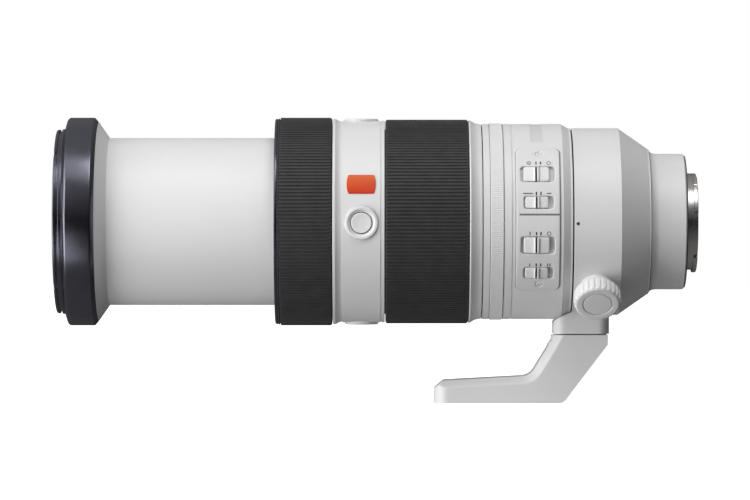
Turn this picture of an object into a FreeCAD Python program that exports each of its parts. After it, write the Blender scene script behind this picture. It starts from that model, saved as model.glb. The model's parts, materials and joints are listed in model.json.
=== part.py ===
import FreeCAD, Part
import math
import os
from types import SimpleNamespace

import Sketcher

# A telephoto zoom lens for a mirrorless camera, drawn out to its longest setting.
# The lens axis is X: the front looks along -X, the camera is at +X and the origin is the
# centre of the mount's flange plane. +Z is up, and the switches face -Y.
# Angles around the lens axis are counted from -Y (0 degrees) towards +Z (90 degrees).
# Stations are distances along X and radii are distances from the lens axis, in millimetres.

os.makedirs("parts", exist_ok=True)
doc = FreeCAD.newDocument("TelephotoZoom")

SHEET = {
    # General clearances and walls
    "run_gap": 0.3,
    "joint_gap": 0.05,
    "edge_break": 0.3,
    # Zoom travel: the front slides back this far while the zoom ring turns a quarter turn
    "zoom_travel": 79.0,
    "zoom_turn": 90.0,
    # Filter ring and front bumper
    "filter_front": -283.3,
    "filter_bead_radius": 41.5,
    "filter_bead_width": 1.3,
    "filter_groove_radius": 40.35,
    "filter_groove_width": 1.3,
    "filter_lip_radius": 41.8,
    "filter_thread_radius": 38.1,
    "filter_thread_depth": 3.4,
    "bumper_front": -279.5,
    "bumper_shoulder": -278.2,
    "bumper_shoulder_radius": 46.25,
    "bumper_band_front": -277.4,
    "bumper_radius": 46.95,
    "bumper_band_rear": -266.5,
    "bumper_rear": -264.6,
    "bumper_rear_radius": 44.8,
    "bumper_bore_radius": 41.05,
    # Extending tube
    "tube_nose": -268.8,
    "flare_rear": -259.7,
    "tube_radius": 37.75,
    "tube_wall": 1.6,
    "tube_rear": -148.8,
    "nose_bore_radius": 39.5,
    # Front glass
    "cell_front": -278.9,
    "cell_radius": 39.45,
    "cell_rear": -244.8,
    "cell_rear_radius": 36.1,
    "cell_bore_radius": 33.5,
    "element_seat": -269.3,
    "element_radius": 36.5,
    "element_apex": -279.6,
    "element_front_curve": 200.0,
    "element_rear_curve": 400.0,
    # Cam followers
    "follower_station": -151.8,
    "follower_radius": 2.5,
    "follower_tip": 41.5,
    # Guide tube, fixed
    "guide_front": -180.2,
    "guide_rear": -63.0,
    "guide_bore_radius": 38.2,
    "guide_radius": 39.8,
    "seal_length": 3.0,
    "seal_bore_radius": 38.05,
    # Focus ring
    "focus_front": -184.8,
    "focus_rear": -159.1,
    "focus_trim_rear": -183.7,
    "focus_trim_radius": 46.4,
    "focus_grip_radius": 46.95,
    "focus_mouth_radius": 45.0,
    "focus_mouth_rear": -182.4,
    "focus_bore_radius": 42.6,
    "focus_seat_radius": 42.3,
    "rubber_wall": 1.7,
    # Button band
    "band_front": -158.8,
    "band_lip_radius": 46.45,
    "band_lip_rear": -157.65,
    "band_hollow": -154.5,
    "band_hollow_radius": 45.2,
    "band_radius": 45.65,
    "band_line": -136.95,
    "band_rear": -135.5,
    "band_bore_radius": 43.3,
    "band_web_rear": -157.3,
    "button_station": -145.9,
    "button_radius": 4.6,
    "button_tilt": -1.1,
    "button_face": 46.2,
    "bezel_radius": 7.55,
    "bezel_face": 46.5,
    "bezel_root": 43.5,
    "badge_front": -152.5,
    "badge_rear": -139.5,
    "badge_angle": 20.9,
    "badge_spread": 11.4,
    "badge_height": 0.3,
    # Zoom ring and its cam tube
    "zoom_front": -135.2,
    "zoom_grip_rear": -97.8,
    "zoom_grip_radius": 46.08,
    "zoom_flare_radius": 45.9,
    "zoom_rear": -92.1,
    "zoom_rear_radius": 44.05,
    "zoom_bore_radius": 43.0,
    "cam_front": -156.8,
    "cam_rear": -68.0,
    "cam_bore_radius": 40.1,
    "cam_radius": 41.7,
    "key_front": -120.8,
    "key_rear": -110.8,
    "key_spread": 12.0,
    # Torque ring
    "seat_front": -91.7,
    "seat_radius": 43.0,
    "seat_bore_radius": 42.1,
    "narrow_ring_rear": -88.8,
    "torque_front": -88.5,
    "torque_rear": -82.65,
    "torque_radius": 44.4,
    # Main barrel
    "barrel_front": -82.35,
    "barrel_line": -78.55,
    "line_width": 0.55,
    "line_depth": 0.4,
    "barrel_radius": 44.1,
    "barrel_cone_front": -56.2,
    "barrel_cone_rear": -52.9,
    "barrel_rear": -52.0,
    "barrel_rear_radius": 42.25,
    "barrel_web_front": -67.7,
    "barrel_web_rear": -63.8,
    "plate_front": -70.2,
    "plate_rear": -64.8,
    "plate_angle": 90.0,
    "plate_spread": 74.0,
    "plate_floor": 43.8,
    # Switch panel and switches
    "panel_front": -77.2,
    "panel_rear": -57.9,
    "panel_radius": 44.62,
    "panel_angle": 1.65,
    "panel_spread": 89.7,
    "panel_corner": 3.0,
    "panel_line_front": -75.8,
    "panel_line_angle": 3.65,
    "panel_screw_station": -67.0,
    "panel_screw_high": 42.0,
    "panel_screw_low": -39.0,
    "panel_screw_radius": 1.5,
    "slot_corner": 1.2,
    "slot_floor": 43.0,
    "switch_face": 44.9,
    "ridge_face": 45.6,
    "ridge_width": 2.4,
    "wide_slot_front": -75.2,
    "wide_slot_rear": -60.1,
    "wide_slot_height": 7.8,
    "wide_knob_front": -73.9,
    "wide_knob_length": 11.5,
    "slim_slot_front": -73.9,
    "slim_slot_rear": -60.6,
    "slim_slot_height": 5.8,
    "slim_knob_front": -73.2,
    "slim_knob_length": 10.3,
    # Rear frame under the collar
    "frame_front": -62.8,
    "frame_shoulder": -51.8,
    "frame_nose_radius": 40.85,
    "frame_radius": 39.9,
    "frame_cone_front": -31.8,
    "frame_rear": -16.4,
    "frame_rear_radius": 30.6,
    "frame_wall": 2.1,
    # Tripod collar
    "collar_front": -51.3,
    "collar_radius": 42.2,
    "collar_bore_radius": 40.2,
    "collar_cone_front": -30.3,
    "collar_bore_cone": -31.3,
    "collar_rear": -16.6,
    "collar_rear_radius": 33.0,
    "collar_rear_bore": 31.2,
    "bracket_front": -59.5,
    "bracket_rear": -34.4,
    "bracket_bottom": -50.6,
    "bracket_width": 26.0,
    "bracket_corner": 5.0,
    "bracket_reach_radius": 45.0,
    "rail_neck": 9.0,
    "rail_head": 14.0,
    "rail_height": 3.4,
    "rail_front": -53.8,
    # Lock knob
    "lock_station": -40.9,
    "lock_angle": -45.0,
    "lock_back": 44.2,
    "lock_face": 52.6,
    "lock_radius": 10.55,
    "lock_face_radius": 9.35,
    "lock_cap_radius": 6.5,
    "lock_flute_radius": 0.95,
    "lock_flutes": 24.0,
    "lock_boss_radius": 8.0,
    "clamp_radius": 2.5,
    # Tripod foot
    "foot_top": -51.1,
    "foot_bottom": -81.85,
    "foot_width": 28.0,
    "foot_tip": -113.2,
    "foot_nose_length": 4.15,
    "foot_nose_height": 4.6,
    "foot_heel_round": 5.0,
    "foot_pad_width": 12.0,
    "foot_neck_front": -59.0,
    "foot_neck_rear": -35.1,
    "foot_shoulder_front": -61.4,
    "foot_shoulder": -55.4,
    "foot_knee": -70.0,
    "foot_heel": -55.2,
    "foot_arm_top": -70.45,
    "foot_chamfer": 3.2,
    "foot_knee_round": 7.0,
    "foot_nose_round": 6.0,
    "socket_station": -86.8,
    "socket_radius": 3.175,
    "socket_depth": 7.0,
    "bush_radius": 5.2,
    "lever_station": -47.4,
    "lever_height": -44.6,
    "lever_thickness": 3.0,
    "lever_round": 0.8,
    "lever_pivot_radius": 2.0,
    "lever_pivot_length": 4.6,
    "lever_tip": 10.2,
    "lever_root": 3.6,
    "lever_half_height": 2.4,
    # Rear barrel and camera mount
    "rear_front": -16.35,
    "rear_front_radius": 32.5,
    "rear_round_end": -12.7,
    "rear_radius": 30.65,
    "rear_end": -0.6,
    "rear_bore_radius": 28.4,
    "rear_flange_front": -6.5,
    "rear_flange_bore": 23.4,
    "gasket_radius": 29.8,
    "flange_radius": 27.0,
    "flange_thickness": 2.5,
    "spigot_radius": 21.8,
    "spigot_length": 5.0,
    "throat_radius": 19.6,
    "lug_front": 3.3,
    "lug_radius": 22.95,
    "mount_screw_circle": 24.4,
    "mount_screw_head": 1.5,
    "mount_screw_shank": 0.8,
    "mount_screw_seat": -1.3,
    "contact_front": -2.0,
    "contact_wall": 3.0,
    "baffle_front": -6.4,
    "baffle_rear": -5.2,
    "baffle_window_across": 29.0,
    "baffle_window_up": 22.0,
    "index_station": -4.4,
    "index_radius": 1.15,
    # Inner chassis, lenses, iris, focusing and stabiliser
    "chassis_front": -146.8,
    "chassis_radius": 35.5,
    "chassis_bore": 33.5,
    "chassis_flange_front": -58.8,
    "chassis_flange_rear": -55.8,
    "middle_cell_bore": 29.0,
    "iris_station": -113.8,
    "iris_housing_length": 6.0,
    "iris_opening": 17.0,
    "rod_circle": 28.0,
    "rod_radius": 1.5,
    "carriage_station": -96.8,
    "carriage_length": 10.0,
    "carriage_radius": 32.5,
    "focus_lens_radius": 20.0,
    "focus_lens_curve": 70.0,
    "fixed_lens_curve": 90.0,
    "stabiliser_station": -82.8,
    "stabiliser_thickness": 2.2,
    "stabiliser_base_length": 4.0,
    "stabiliser_base_bore": 21.0,
    "stabiliser_pitch_bore": 17.0,
    "stabiliser_lens_radius": 15.0,
    "stabiliser_lens_curve": 60.0,
    "rear_cell_front": -46.8,
    "rear_cell_rear": -9.0,
    "rear_cell_radius": 22.0,
    "rear_cell_bore": 18.5,
    "board_front": -25.0,
    "board_rear": -23.8,
    "board_radius": 31.4,
}

CONTACTS = 10
IRIS_BLADES = 9
MOUNT_SCREWS = 4
FOLLOWERS = 3
X_AXIS = FreeCAD.Vector(1, 0, 0)
Y_AXIS = FreeCAD.Vector(0, 1, 0)
Z_AXIS = FreeCAD.Vector(0, 0, 1)


class Size:
    """A length or angle, with the spreadsheet expression that gives it."""

    def __init__(self, value, text):
        self.value = value
        self.text = text

    def __add__(self, other):
        other = as_size(other)
        return Size(self.value + other.value, f"({self.text} + {other.text})")

    def __radd__(self, other):
        return as_size(other) + self

    def __sub__(self, other):
        other = as_size(other)
        return Size(self.value - other.value, f"({self.text} - {other.text})")

    def __rsub__(self, other):
        return as_size(other) - self

    def __mul__(self, factor):
        return Size(self.value * factor, f"({self.text} * {factor})")

    __rmul__ = __mul__

    def __truediv__(self, divisor):
        return Size(self.value / divisor, f"({self.text} / {divisor})")

    def __neg__(self):
        return self * -1


def as_size(value):
    return value if isinstance(value, Size) else Size(value, repr(value))


def make_sheet():
    """Put every driving dimension in the spreadsheet, and return them by name."""
    sheet = doc.addObject("Spreadsheet::Sheet", "Sizes")
    sizes = {}
    for row, (name, value) in enumerate(SHEET.items(), start=1):
        sheet.set(f"A{row}", name.replace("_", " "))
        sheet.set(f"B{row}", str(value))
        sheet.setAlias(f"B{row}", name)
        sizes[name] = Size(value, f"Sizes.{name}")
    doc.recompute()
    return SimpleNamespace(**sizes)


d = make_sheet()
nodes = []


# ---- Ways of making a piece -------------------------------------------------------------


def bind(item, name, size):
    """Tie one property of an object to the sheet."""
    size = as_size(size)
    setattr(item, name, size.value)
    item.setExpression(name, size.text)


def node(item, label):
    """Name a finished sub-part, which is written to its own file."""
    item.Label = label
    nodes.append(item)
    return item


def origin_part(body, role):
    return [part for part in body.Origin.OriginFeatures if part.Role == role][0]


def new_sketch(body, plane, offset=None):
    sketch = body.newObject("Sketcher::SketchObject", "Sketch")
    sketch.AttachmentSupport = [(origin_part(body, plane), "")]
    sketch.MapMode = "FlatFace"
    if offset:
        sketch.AttachmentOffset = offset
    return sketch


def draw_polygon(sketch, points):
    """A closed outline through points, each held by two distances from the origin."""
    points = [(as_size(across), as_size(up)) for across, up in points]
    count = len(points)
    corners = [FreeCAD.Vector(across.value, up.value, 0) for across, up in points]
    start = sketch.GeometryCount
    sides = [Part.LineSegment(corners[i], corners[(i + 1) % count]) for i in range(count)]
    sketch.addGeometry(sides, False)
    for i in range(count):
        after = start + (i + 1) % count
        sketch.addConstraint(Sketcher.Constraint("Coincident", start + i, 2, after, 1))
    for i, (across, up) in enumerate(points):
        for kind, size in (("DistanceX", across), ("DistanceY", up)):
            index = sketch.addConstraint(Sketcher.Constraint(kind, -1, 1, start + i, 1, size.value))
            sketch.setExpression(f"Constraints[{index}]", size.text)


def draw_circle(sketch, across, up, radius):
    """A circle held by its centre and its radius."""
    across, up, radius = as_size(across), as_size(up), as_size(radius)
    centre = FreeCAD.Vector(across.value, up.value, 0)
    index = sketch.addGeometry(Part.Circle(centre, FreeCAD.Vector(0, 0, 1), radius.value), False)
    rules = [
        (Sketcher.Constraint("DistanceX", -1, 1, index, 3, across.value), across),
        (Sketcher.Constraint("DistanceY", -1, 1, index, 3, up.value), up),
        (Sketcher.Constraint("Radius", index, radius.value), radius),
    ]
    for rule, size in rules:
        sketch.setExpression(f"Constraints[{sketch.addConstraint(rule)}]", size.text)


def along(axis, distance):
    """A plain shift along one axis: of a sketch (Z is its own normal) or of a whole piece."""
    return FreeCAD.Placement(axis * as_size(distance).value, FreeCAD.Rotation())


def half_plane(angle):
    """Where a sketch goes to hold the lens axis and point outwards at an angle around it."""
    return FreeCAD.Placement(FreeCAD.Vector(), FreeCAD.Rotation(X_AXIS, 90 - as_size(angle).value))


def facing(angle, distance=0):
    """Where a sketch goes to face outwards at an angle, at a distance from the lens axis."""
    turn = FreeCAD.Rotation(X_AXIS, -as_size(angle).value)
    return FreeCAD.Placement(turn.multVec(FreeCAD.Vector(0, 0, as_size(distance).value)), turn)


def radial(station, angle):
    """Places a turned piece with its own axis pointing outwards from the lens axis."""
    around = math.radians(as_size(angle).value)
    outwards = FreeCAD.Vector(0, -math.cos(around), math.sin(around))
    return FreeCAD.Placement(X_AXIS * as_size(station).value, FreeCAD.Rotation(X_AXIS, outwards))


def revolve(body, points, kind="Revolution", angle=90, spread=360):
    """Turn (station, radius) points about the body's X axis, all round or centred on an angle."""
    sketch = new_sketch(body, "XZ_Plane", half_plane(angle))
    draw_polygon(sketch, points)
    feature = body.newObject("PartDesign::" + kind, kind)
    feature.Profile = sketch
    feature.ReferenceAxis = (sketch, ["H_Axis"])
    if as_size(spread).value < 360:
        feature.Midplane = True
    bind(feature, "Angle", spread)
    return feature


def new_body(label, place=None):
    body = doc.addObject("PartDesign::Body", label)
    body.Label = label
    if place:
        body.Placement = place
    return body


def turned(label, points, place=None):
    """A turned piece."""
    body = new_body(label, place)
    revolve(body, points)
    return body


def sector(label, points, angle, spread):
    """A piece of a turned shell, centred on an angle around the lens axis."""
    body = new_body(label)
    revolve(body, points, "Revolution", angle, spread)
    return body


def extrude(body, kind, sketch, length=None, outwards=True, both_ways=False):
    """A Pad or a Pocket. Outwards is along the sketch's normal; no length means through all."""
    feature = body.newObject("PartDesign::" + kind, kind)
    feature.Profile = sketch
    if length is None:
        feature.Type = "ThroughAll"
    else:
        bind(feature, "Length", length)
    feature.Midplane = both_ways
    if not both_ways:
        feature.Reversed = outwards == (kind == "Pocket")
    return feature


def repeat(body, feature, count):
    """Repeat a feature evenly all round the body's X axis."""
    pattern = body.newObject("PartDesign::PolarPattern", "PolarPattern")
    pattern.Originals = [feature]
    pattern.Axis = (origin_part(body, "X_Axis"), [""])
    pattern.Angle = 360
    pattern.Occurrences = count
    body.Tip = pattern
    return pattern


def dress(body, kind, size, wanted):
    """Round (Fillet) or bevel (Chamfer) the edges of a body that wanted picks."""
    doc.recompute()
    base = body.Tip
    names = [f"Edge{i + 1}" for i, edge in enumerate(base.Shape.Edges) if wanted(edge)]
    feature = body.newObject("PartDesign::" + kind, kind)
    feature.Base = (base, names)
    bind(feature, "Radius" if kind == "Fillet" else "Size", size)
    return feature


def is_straight(edge):
    """True for an edge whose ends are as far apart as it is long."""
    ends = [vertex.Point for vertex in edge.Vertexes]
    if len(ends) != 2 or edge.Length < 1e-3:
        return False
    return abs((ends[1] - ends[0]).Length - edge.Length) < 1e-6


def runs_along(edge, direction):
    """True for a straight edge along a direction."""
    if not is_straight(edge):
        return False
    ends = [vertex.Point for vertex in edge.Vertexes]
    return (ends[1] - ends[0]).normalize().cross(direction).Length < 1e-4


def grouped(label, pieces):
    """Several separate solids of one kind, kept in one node."""
    group = doc.addObject("Part::Compound", label)
    group.Links = pieces
    return node(group, label)


def ring(front, rear, bore, outside):
    """The outline of a plain ring."""
    return [(front, bore), (front, outside), (rear, outside), (rear, bore)]


def pin_outline(root, tip, radius):
    """The outline of a plain round pin, for a turned piece."""
    return [(root, 0), (root, radius), (tip, radius), (tip, 0)]


def lens(label, rim, front, front_curve, rear, rear_curve):
    """A lens with two outward-curved faces: a cylinder between two balls."""
    stock = doc.addObject("Part::Cylinder", label + "_blank")
    bind(stock, "Radius", rim)
    bind(stock, "Height", rear - front)
    stock.Placement = FreeCAD.Placement(X_AXIS * front.value, FreeCAD.Rotation(Y_AXIS, 90))
    stock.setExpression("Placement.Base.x", front.text)
    balls = []
    for curve, centre in ((front_curve, front + front_curve), (rear_curve, rear - rear_curve)):
        ball = doc.addObject("Part::Sphere", label + "_face")
        bind(ball, "Radius", curve)
        ball.Placement.Base.x = centre.value
        ball.setExpression("Placement.Base.x", centre.text)
        balls.append(ball)
    glass = doc.addObject("Part::MultiCommon", label)
    glass.Shapes = [stock] + balls
    glass.Label = label
    return glass


# ---- The front group, which slides with the zoom -----------------------------------------


def filter_ring():
    groove_front = d.filter_front + d.filter_bead_width
    groove_rear = groove_front + d.filter_groove_width
    thread_rear = d.filter_front + d.filter_thread_depth
    sleeve_rear = d.tube_nose - 2
    sleeve_bore = d.nose_bore_radius
    sleeve_radius = d.bumper_bore_radius - d.joint_gap
    points = [
        (d.filter_front, d.filter_thread_radius),
        (d.filter_front, d.filter_bead_radius - d.edge_break),
        (d.filter_front + d.edge_break, d.filter_bead_radius),
        (groove_front, d.filter_bead_radius),
        (groove_front, d.filter_groove_radius),
        (groove_rear, d.filter_groove_radius),
        (groove_rear, d.filter_lip_radius),
        (d.bumper_front, d.filter_lip_radius),
        (d.bumper_front, sleeve_radius),
        (sleeve_rear, sleeve_radius),
        (sleeve_rear, sleeve_bore),
        (thread_rear, sleeve_bore),
        (thread_rear, d.filter_thread_radius),
    ]
    node(turned("filter_ring", points), "filter_ring")


def front_bumper_ring():
    points = [
        (d.bumper_front, d.bumper_bore_radius),
        (d.bumper_front, d.filter_lip_radius + d.joint_gap),
        (d.bumper_shoulder, d.bumper_shoulder_radius),
        (d.bumper_band_front, d.bumper_radius),
        (d.bumper_band_rear, d.bumper_radius),
        (d.bumper_rear, d.bumper_rear_radius),
        (d.bumper_rear, d.bumper_bore_radius),
    ]
    node(turned("front_bumper_ring", points), "front_bumper_ring")


def extending_tube():
    """The long white tube, with the flare behind the bumper ring and a hole for each follower."""
    tube_bore = d.tube_radius - d.tube_wall
    nose_radius = d.bumper_bore_radius - d.joint_gap
    points = [
        (d.tube_nose, d.nose_bore_radius),
        (d.tube_nose, nose_radius),
        (d.bumper_rear, nose_radius),
        (d.bumper_rear, d.bumper_rear_radius),
        (d.flare_rear, d.tube_radius),
        (d.tube_rear, d.tube_radius),
        (d.tube_rear, tube_bore),
        (d.flare_rear - 1, tube_bore),
        (d.flare_rear - 5, d.nose_bore_radius),
    ]
    body = turned("extending_tube", points)
    sketch = new_sketch(body, "XZ_Plane", facing(0))
    draw_circle(sketch, d.follower_station, 0, d.follower_radius)
    repeat(body, extrude(body, "Pocket", sketch), FOLLOWERS)
    node(body, "extending_tube")


def cam_followers():
    root = d.tube_radius - d.tube_wall
    pins = []
    outline = pin_outline(root, d.follower_tip, d.follower_radius)
    for i in range(FOLLOWERS):
        place = radial(d.follower_station, -360 / FOLLOWERS * i)
        pins.append(turned(f"follower_{i + 1}", outline, place))
    grouped("cam_followers", pins)


def front_lens_cell():
    points = [
        (d.cell_front, d.element_radius + d.joint_gap),
        (d.cell_front, d.cell_radius),
        (d.flare_rear - 5.3, d.cell_radius),
        (d.flare_rear - 1.3, d.cell_rear_radius),
        (d.cell_rear, d.cell_rear_radius),
        (d.cell_rear, d.cell_bore_radius),
        (d.element_seat, d.cell_bore_radius),
        (d.element_seat, d.element_radius + d.joint_gap),
    ]
    node(turned("front_lens_cell", points), "front_lens_cell")


def retaining_ring():
    """The black ring round the front element, inside the filter thread."""
    lip = d.element_radius - 1.6
    points = [
        (d.cell_front - 0.8, lip + 1.2),
        (d.cell_front - 0.8, d.filter_thread_radius - d.joint_gap),
        (d.cell_front - d.joint_gap, d.filter_thread_radius - d.joint_gap),
        (d.cell_front - d.joint_gap, d.element_radius),
        (d.cell_front + 1.5, d.element_radius),
        (d.cell_front + 1.5, lip),
        (d.cell_front + 0.2, lip),
    ]
    node(turned("retaining_ring", points), "retaining_ring")


def front_glass():
    element = lens("front_element", d.element_radius, d.element_apex, d.element_front_curve,
                   d.element_seat, d.element_rear_curve)
    node(element, "front_element")
    rim = d.cell_bore_radius - d.joint_gap
    seat = d.element_seat
    curve = d.element_front_curve
    grouped("front_group_glass", [
        lens("front_doublet", rim, seat + 3, curve, seat + 12, curve),
        lens("front_singlet", rim, seat + 14, curve, d.cell_rear - 1, d.element_rear_curve),
    ])


# ---- The fixed barrel, from the front to the camera ---------------------------------------


def guide_tube():
    """The inner fixed tube. Its three straight slots stop the front group from turning."""
    seal_radius = d.guide_radius - 0.55
    points = [
        (d.guide_front, seal_radius),
        (d.guide_front, d.focus_seat_radius),
        (d.band_front - d.joint_gap, d.focus_seat_radius),
        (d.band_front - d.joint_gap, d.guide_radius),
        (d.guide_rear, d.guide_radius),
        (d.guide_rear, d.guide_bore_radius),
        (d.guide_front + d.seal_length, d.guide_bore_radius),
        (d.guide_front + d.seal_length, seal_radius),
    ]
    body = turned("guide_tube", points)
    half_width = d.follower_radius + d.run_gap
    sketch = new_sketch(body, "XZ_Plane", facing(0))
    draw_polygon(sketch, [
        (d.follower_station - half_width, -half_width),
        (d.follower_station + d.zoom_travel + half_width, -half_width),
        (d.follower_station + d.zoom_travel + half_width, half_width),
        (d.follower_station - half_width, half_width),
    ])
    repeat(body, extrude(body, "Pocket", sketch), FOLLOWERS)
    node(body, "guide_tube")


def dust_seal():
    points = ring(d.guide_front + d.joint_gap, d.guide_front + d.seal_length - d.joint_gap,
                  d.seal_bore_radius, d.guide_radius - 0.6)
    node(turned("dust_seal", points), "dust_seal")


BUTTONS = {"side": 0, "top": 90, "bottom": -90}


def button_band():
    """The white band that carries the hold buttons, with the web that fixes it to the guide tube."""
    web_bore = d.guide_radius + d.joint_gap
    points = [
        (d.band_front, web_bore),
        (d.band_front, d.band_lip_radius - d.edge_break),
        (d.band_front + d.edge_break, d.band_lip_radius),
        (d.band_lip_rear, d.band_lip_radius),
        (d.band_lip_rear + 1.2, d.band_hollow_radius + 0.55),
        (d.band_lip_rear + 2.2, d.band_hollow_radius + 0.2),
        (d.band_hollow, d.band_hollow_radius),
        (d.band_hollow, d.band_radius),
        (d.band_line - d.line_width, d.band_radius),
        (d.band_line - d.line_width, d.band_radius - d.line_depth),
        (d.band_line, d.band_radius - d.line_depth),
        (d.band_line, d.band_radius),
        (d.band_rear - d.edge_break, d.band_radius),
        (d.band_rear, d.band_radius - d.edge_break),
        (d.band_rear, d.band_bore_radius),
        (d.band_web_rear, d.band_bore_radius),
        (d.band_web_rear, web_bore),
    ]
    body = turned("button_band", points)
    for angle in BUTTONS.values():
        sketch = new_sketch(body, "XZ_Plane", facing(angle + d.button_tilt))
        draw_circle(sketch, d.button_station, 0, d.bezel_radius + d.joint_gap)
        extrude(body, "Pocket", sketch)
    node(body, "button_band")


def hold_buttons():
    """Three dished bezels fixed in the band, each with a push button in it."""
    hole = d.button_radius + d.run_gap
    bezel = [
        (d.bezel_root, hole),
        (d.bezel_face - 1.0, hole),
        (d.bezel_face - 0.1, hole + 1.05),
        (d.bezel_face, hole + 1.4),
        (d.bezel_face - 0.1, d.bezel_radius - 0.3),
        (d.bezel_face - 0.35, d.bezel_radius),
        (d.bezel_root, d.bezel_radius),
    ]
    button = [
        (d.bezel_root - 0.5, 0),
        (d.bezel_root - 0.5, d.button_radius),
        (d.button_face - d.edge_break, d.button_radius),
        (d.button_face, d.button_radius - 0.5),
        (d.button_face - 0.15, d.button_radius - 2.0),
        (d.button_face - 0.2, 0),
    ]
    bezels = []
    for side, angle in BUTTONS.items():
        place = radial(d.button_station, angle + d.button_tilt)
        bezels.append(turned(f"bezel_{side}", bezel, place))
        node(turned(f"hold_button_{side}", button, place), f"hold_button_{side}")
    grouped("button_bezels", bezels)


def badge():
    points = ring(d.badge_front, d.badge_rear, d.band_radius, d.band_radius + d.badge_height)
    node(sector("badge", points, d.badge_angle, d.badge_spread), "badge")


SWITCHES = {
    # name: angle around the barrel, and the size of its slot and knob
    "focus_mode_switch": (28.0, "wide"),
    "focus_range_switch": (10.7, "slim"),
    "stabiliser_switch": (-14.1, "wide"),
    "stabiliser_mode_switch": (-31.25, "slim"),
}


def slot_outline(kind, margin):
    """The four corners of a switch slot, larger than the slot by a margin."""
    front = getattr(d, kind + "_slot_front") - margin
    rear = getattr(d, kind + "_slot_rear") + margin
    half = getattr(d, kind + "_slot_height") / 2 + margin
    return [(front, -half), (rear, -half), (rear, half), (front, half)]


def main_barrel():
    """The white barrel behind the zoom ring, with the seat of the torque ring at its front."""
    points = [
        (d.seat_front, d.seat_bore_radius),
        (d.seat_front, d.barrel_radius),
        (d.narrow_ring_rear, d.barrel_radius),
        (d.narrow_ring_rear, d.seat_radius),
        (d.barrel_front, d.seat_radius),
        (d.barrel_front, d.barrel_radius),
        (d.barrel_line - d.line_width, d.barrel_radius),
        (d.barrel_line - d.line_width, d.barrel_radius - d.line_depth),
        (d.barrel_line, d.barrel_radius - d.line_depth),
        (d.barrel_line, d.barrel_radius),
        (d.barrel_cone_front, d.barrel_radius),
        (d.barrel_cone_rear, d.barrel_rear_radius),
        (d.barrel_rear, d.barrel_rear_radius),
        (d.barrel_rear, d.frame_nose_radius + d.joint_gap),
        (d.barrel_web_rear, d.frame_nose_radius + d.joint_gap),
        (d.barrel_web_rear, d.guide_radius + d.joint_gap),
        (d.barrel_web_front, d.guide_radius + d.joint_gap),
        (d.barrel_web_front, d.seat_bore_radius),
    ]
    body = turned("main_barrel", points)
    plate = ring(d.plate_front, d.plate_rear, d.plate_floor, d.barrel_radius + 1)
    revolve(body, plate, "Groove", d.plate_angle, d.plate_spread)
    for angle, kind in SWITCHES.values():
        sketch = new_sketch(body, "XZ_Plane", facing(angle, d.slot_floor))
        draw_polygon(sketch, slot_outline(kind, 0))
        extrude(body, "Pocket", sketch)
    for angle in (d.panel_screw_high, d.panel_screw_low):
        sketch = new_sketch(body, "XZ_Plane", facing(angle, d.slot_floor))
        draw_circle(sketch, d.panel_screw_station, 0, d.panel_screw_radius / 2 + d.joint_gap)
        extrude(body, "Pocket", sketch)
    node(body, "main_barrel")


def name_plate():
    """A plain strip let into the top of the barrel."""
    gap = d.joint_gap
    points = ring(d.plate_front + gap, d.plate_rear - gap, d.plate_floor, d.barrel_radius - 0.15)
    node(sector("name_plate", points, d.plate_angle, d.plate_spread - 0.2), "name_plate")


def switch_panel():
    """The raised plate that surrounds the switches."""
    points = ring(d.panel_front, d.panel_rear, d.barrel_radius, d.panel_radius)
    body = sector("switch_panel", points, d.panel_angle, d.panel_spread)
    dress(body, "Fillet", d.panel_corner, lambda edge: edge.Length < 1 and runs_outwards(edge))
    for angle, kind in SWITCHES.values():
        sketch = new_sketch(body, "XZ_Plane", facing(angle))
        draw_polygon(sketch, slot_outline(kind, 0))
        extrude(body, "Pocket", sketch)
        tilt = math.radians(angle)
        middle = FreeCAD.Vector(0, -math.cos(tilt), math.sin(tilt))
        dress(body, "Fillet", d.slot_corner, slot_corner_of(middle, kind))
    for angle in (d.panel_screw_high, d.panel_screw_low):
        sketch = new_sketch(body, "XZ_Plane", facing(angle))
        draw_circle(sketch, d.panel_screw_station, 0, d.panel_screw_radius + d.joint_gap)
        extrude(body, "Pocket", sketch)
    floor = d.panel_radius - 0.2
    line = [(d.panel_line_front, floor), (d.panel_line_front, d.panel_radius + 1),
            (d.panel_rear + 1, d.panel_radius + 1), (d.panel_rear + 1, floor)]
    revolve(body, line, "Groove", d.panel_line_angle, 0.5)
    node(body, "switch_panel")


def runs_outwards(edge):
    """True for a straight edge square to the lens axis."""
    return is_straight(edge) and abs(edge.Vertexes[0].Point.x - edge.Vertexes[1].Point.x) < 1e-4


def slot_corner_of(middle, kind):
    """Picks the corner edges of one slot, which stand along the slot's outward direction."""
    half = getattr(d, kind + "_slot_height").value / 2

    def wanted(edge):
        if edge.Length > 1 or not runs_outwards(edge):
            return False
        point = edge.Vertexes[0].Point
        outwards = FreeCAD.Vector(0, point.y, point.z)
        aside = (outwards - middle * outwards.dot(middle)).Length
        return abs(aside - half) < 0.1 and outwards.dot(middle) > 0 and runs_along(edge, middle)

    return wanted


def panel_screws():
    head = d.panel_screw_radius
    outline = [
        (d.slot_floor + 0.2, 0),
        (d.slot_floor + 0.2, head / 2),
        (d.barrel_radius + d.joint_gap, head / 2),
        (d.barrel_radius + d.joint_gap, head),
        (d.panel_radius, head),
        (d.panel_radius + 0.1, head - 0.2),
        (d.panel_radius + 0.1, 0),
    ]
    angles = (d.panel_screw_high, d.panel_screw_low)
    grouped("panel_screws", [
        turned(f"panel_screw_{i + 1}", outline, radial(d.panel_screw_station, angle))
        for i, angle in enumerate(angles)
    ])


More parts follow.
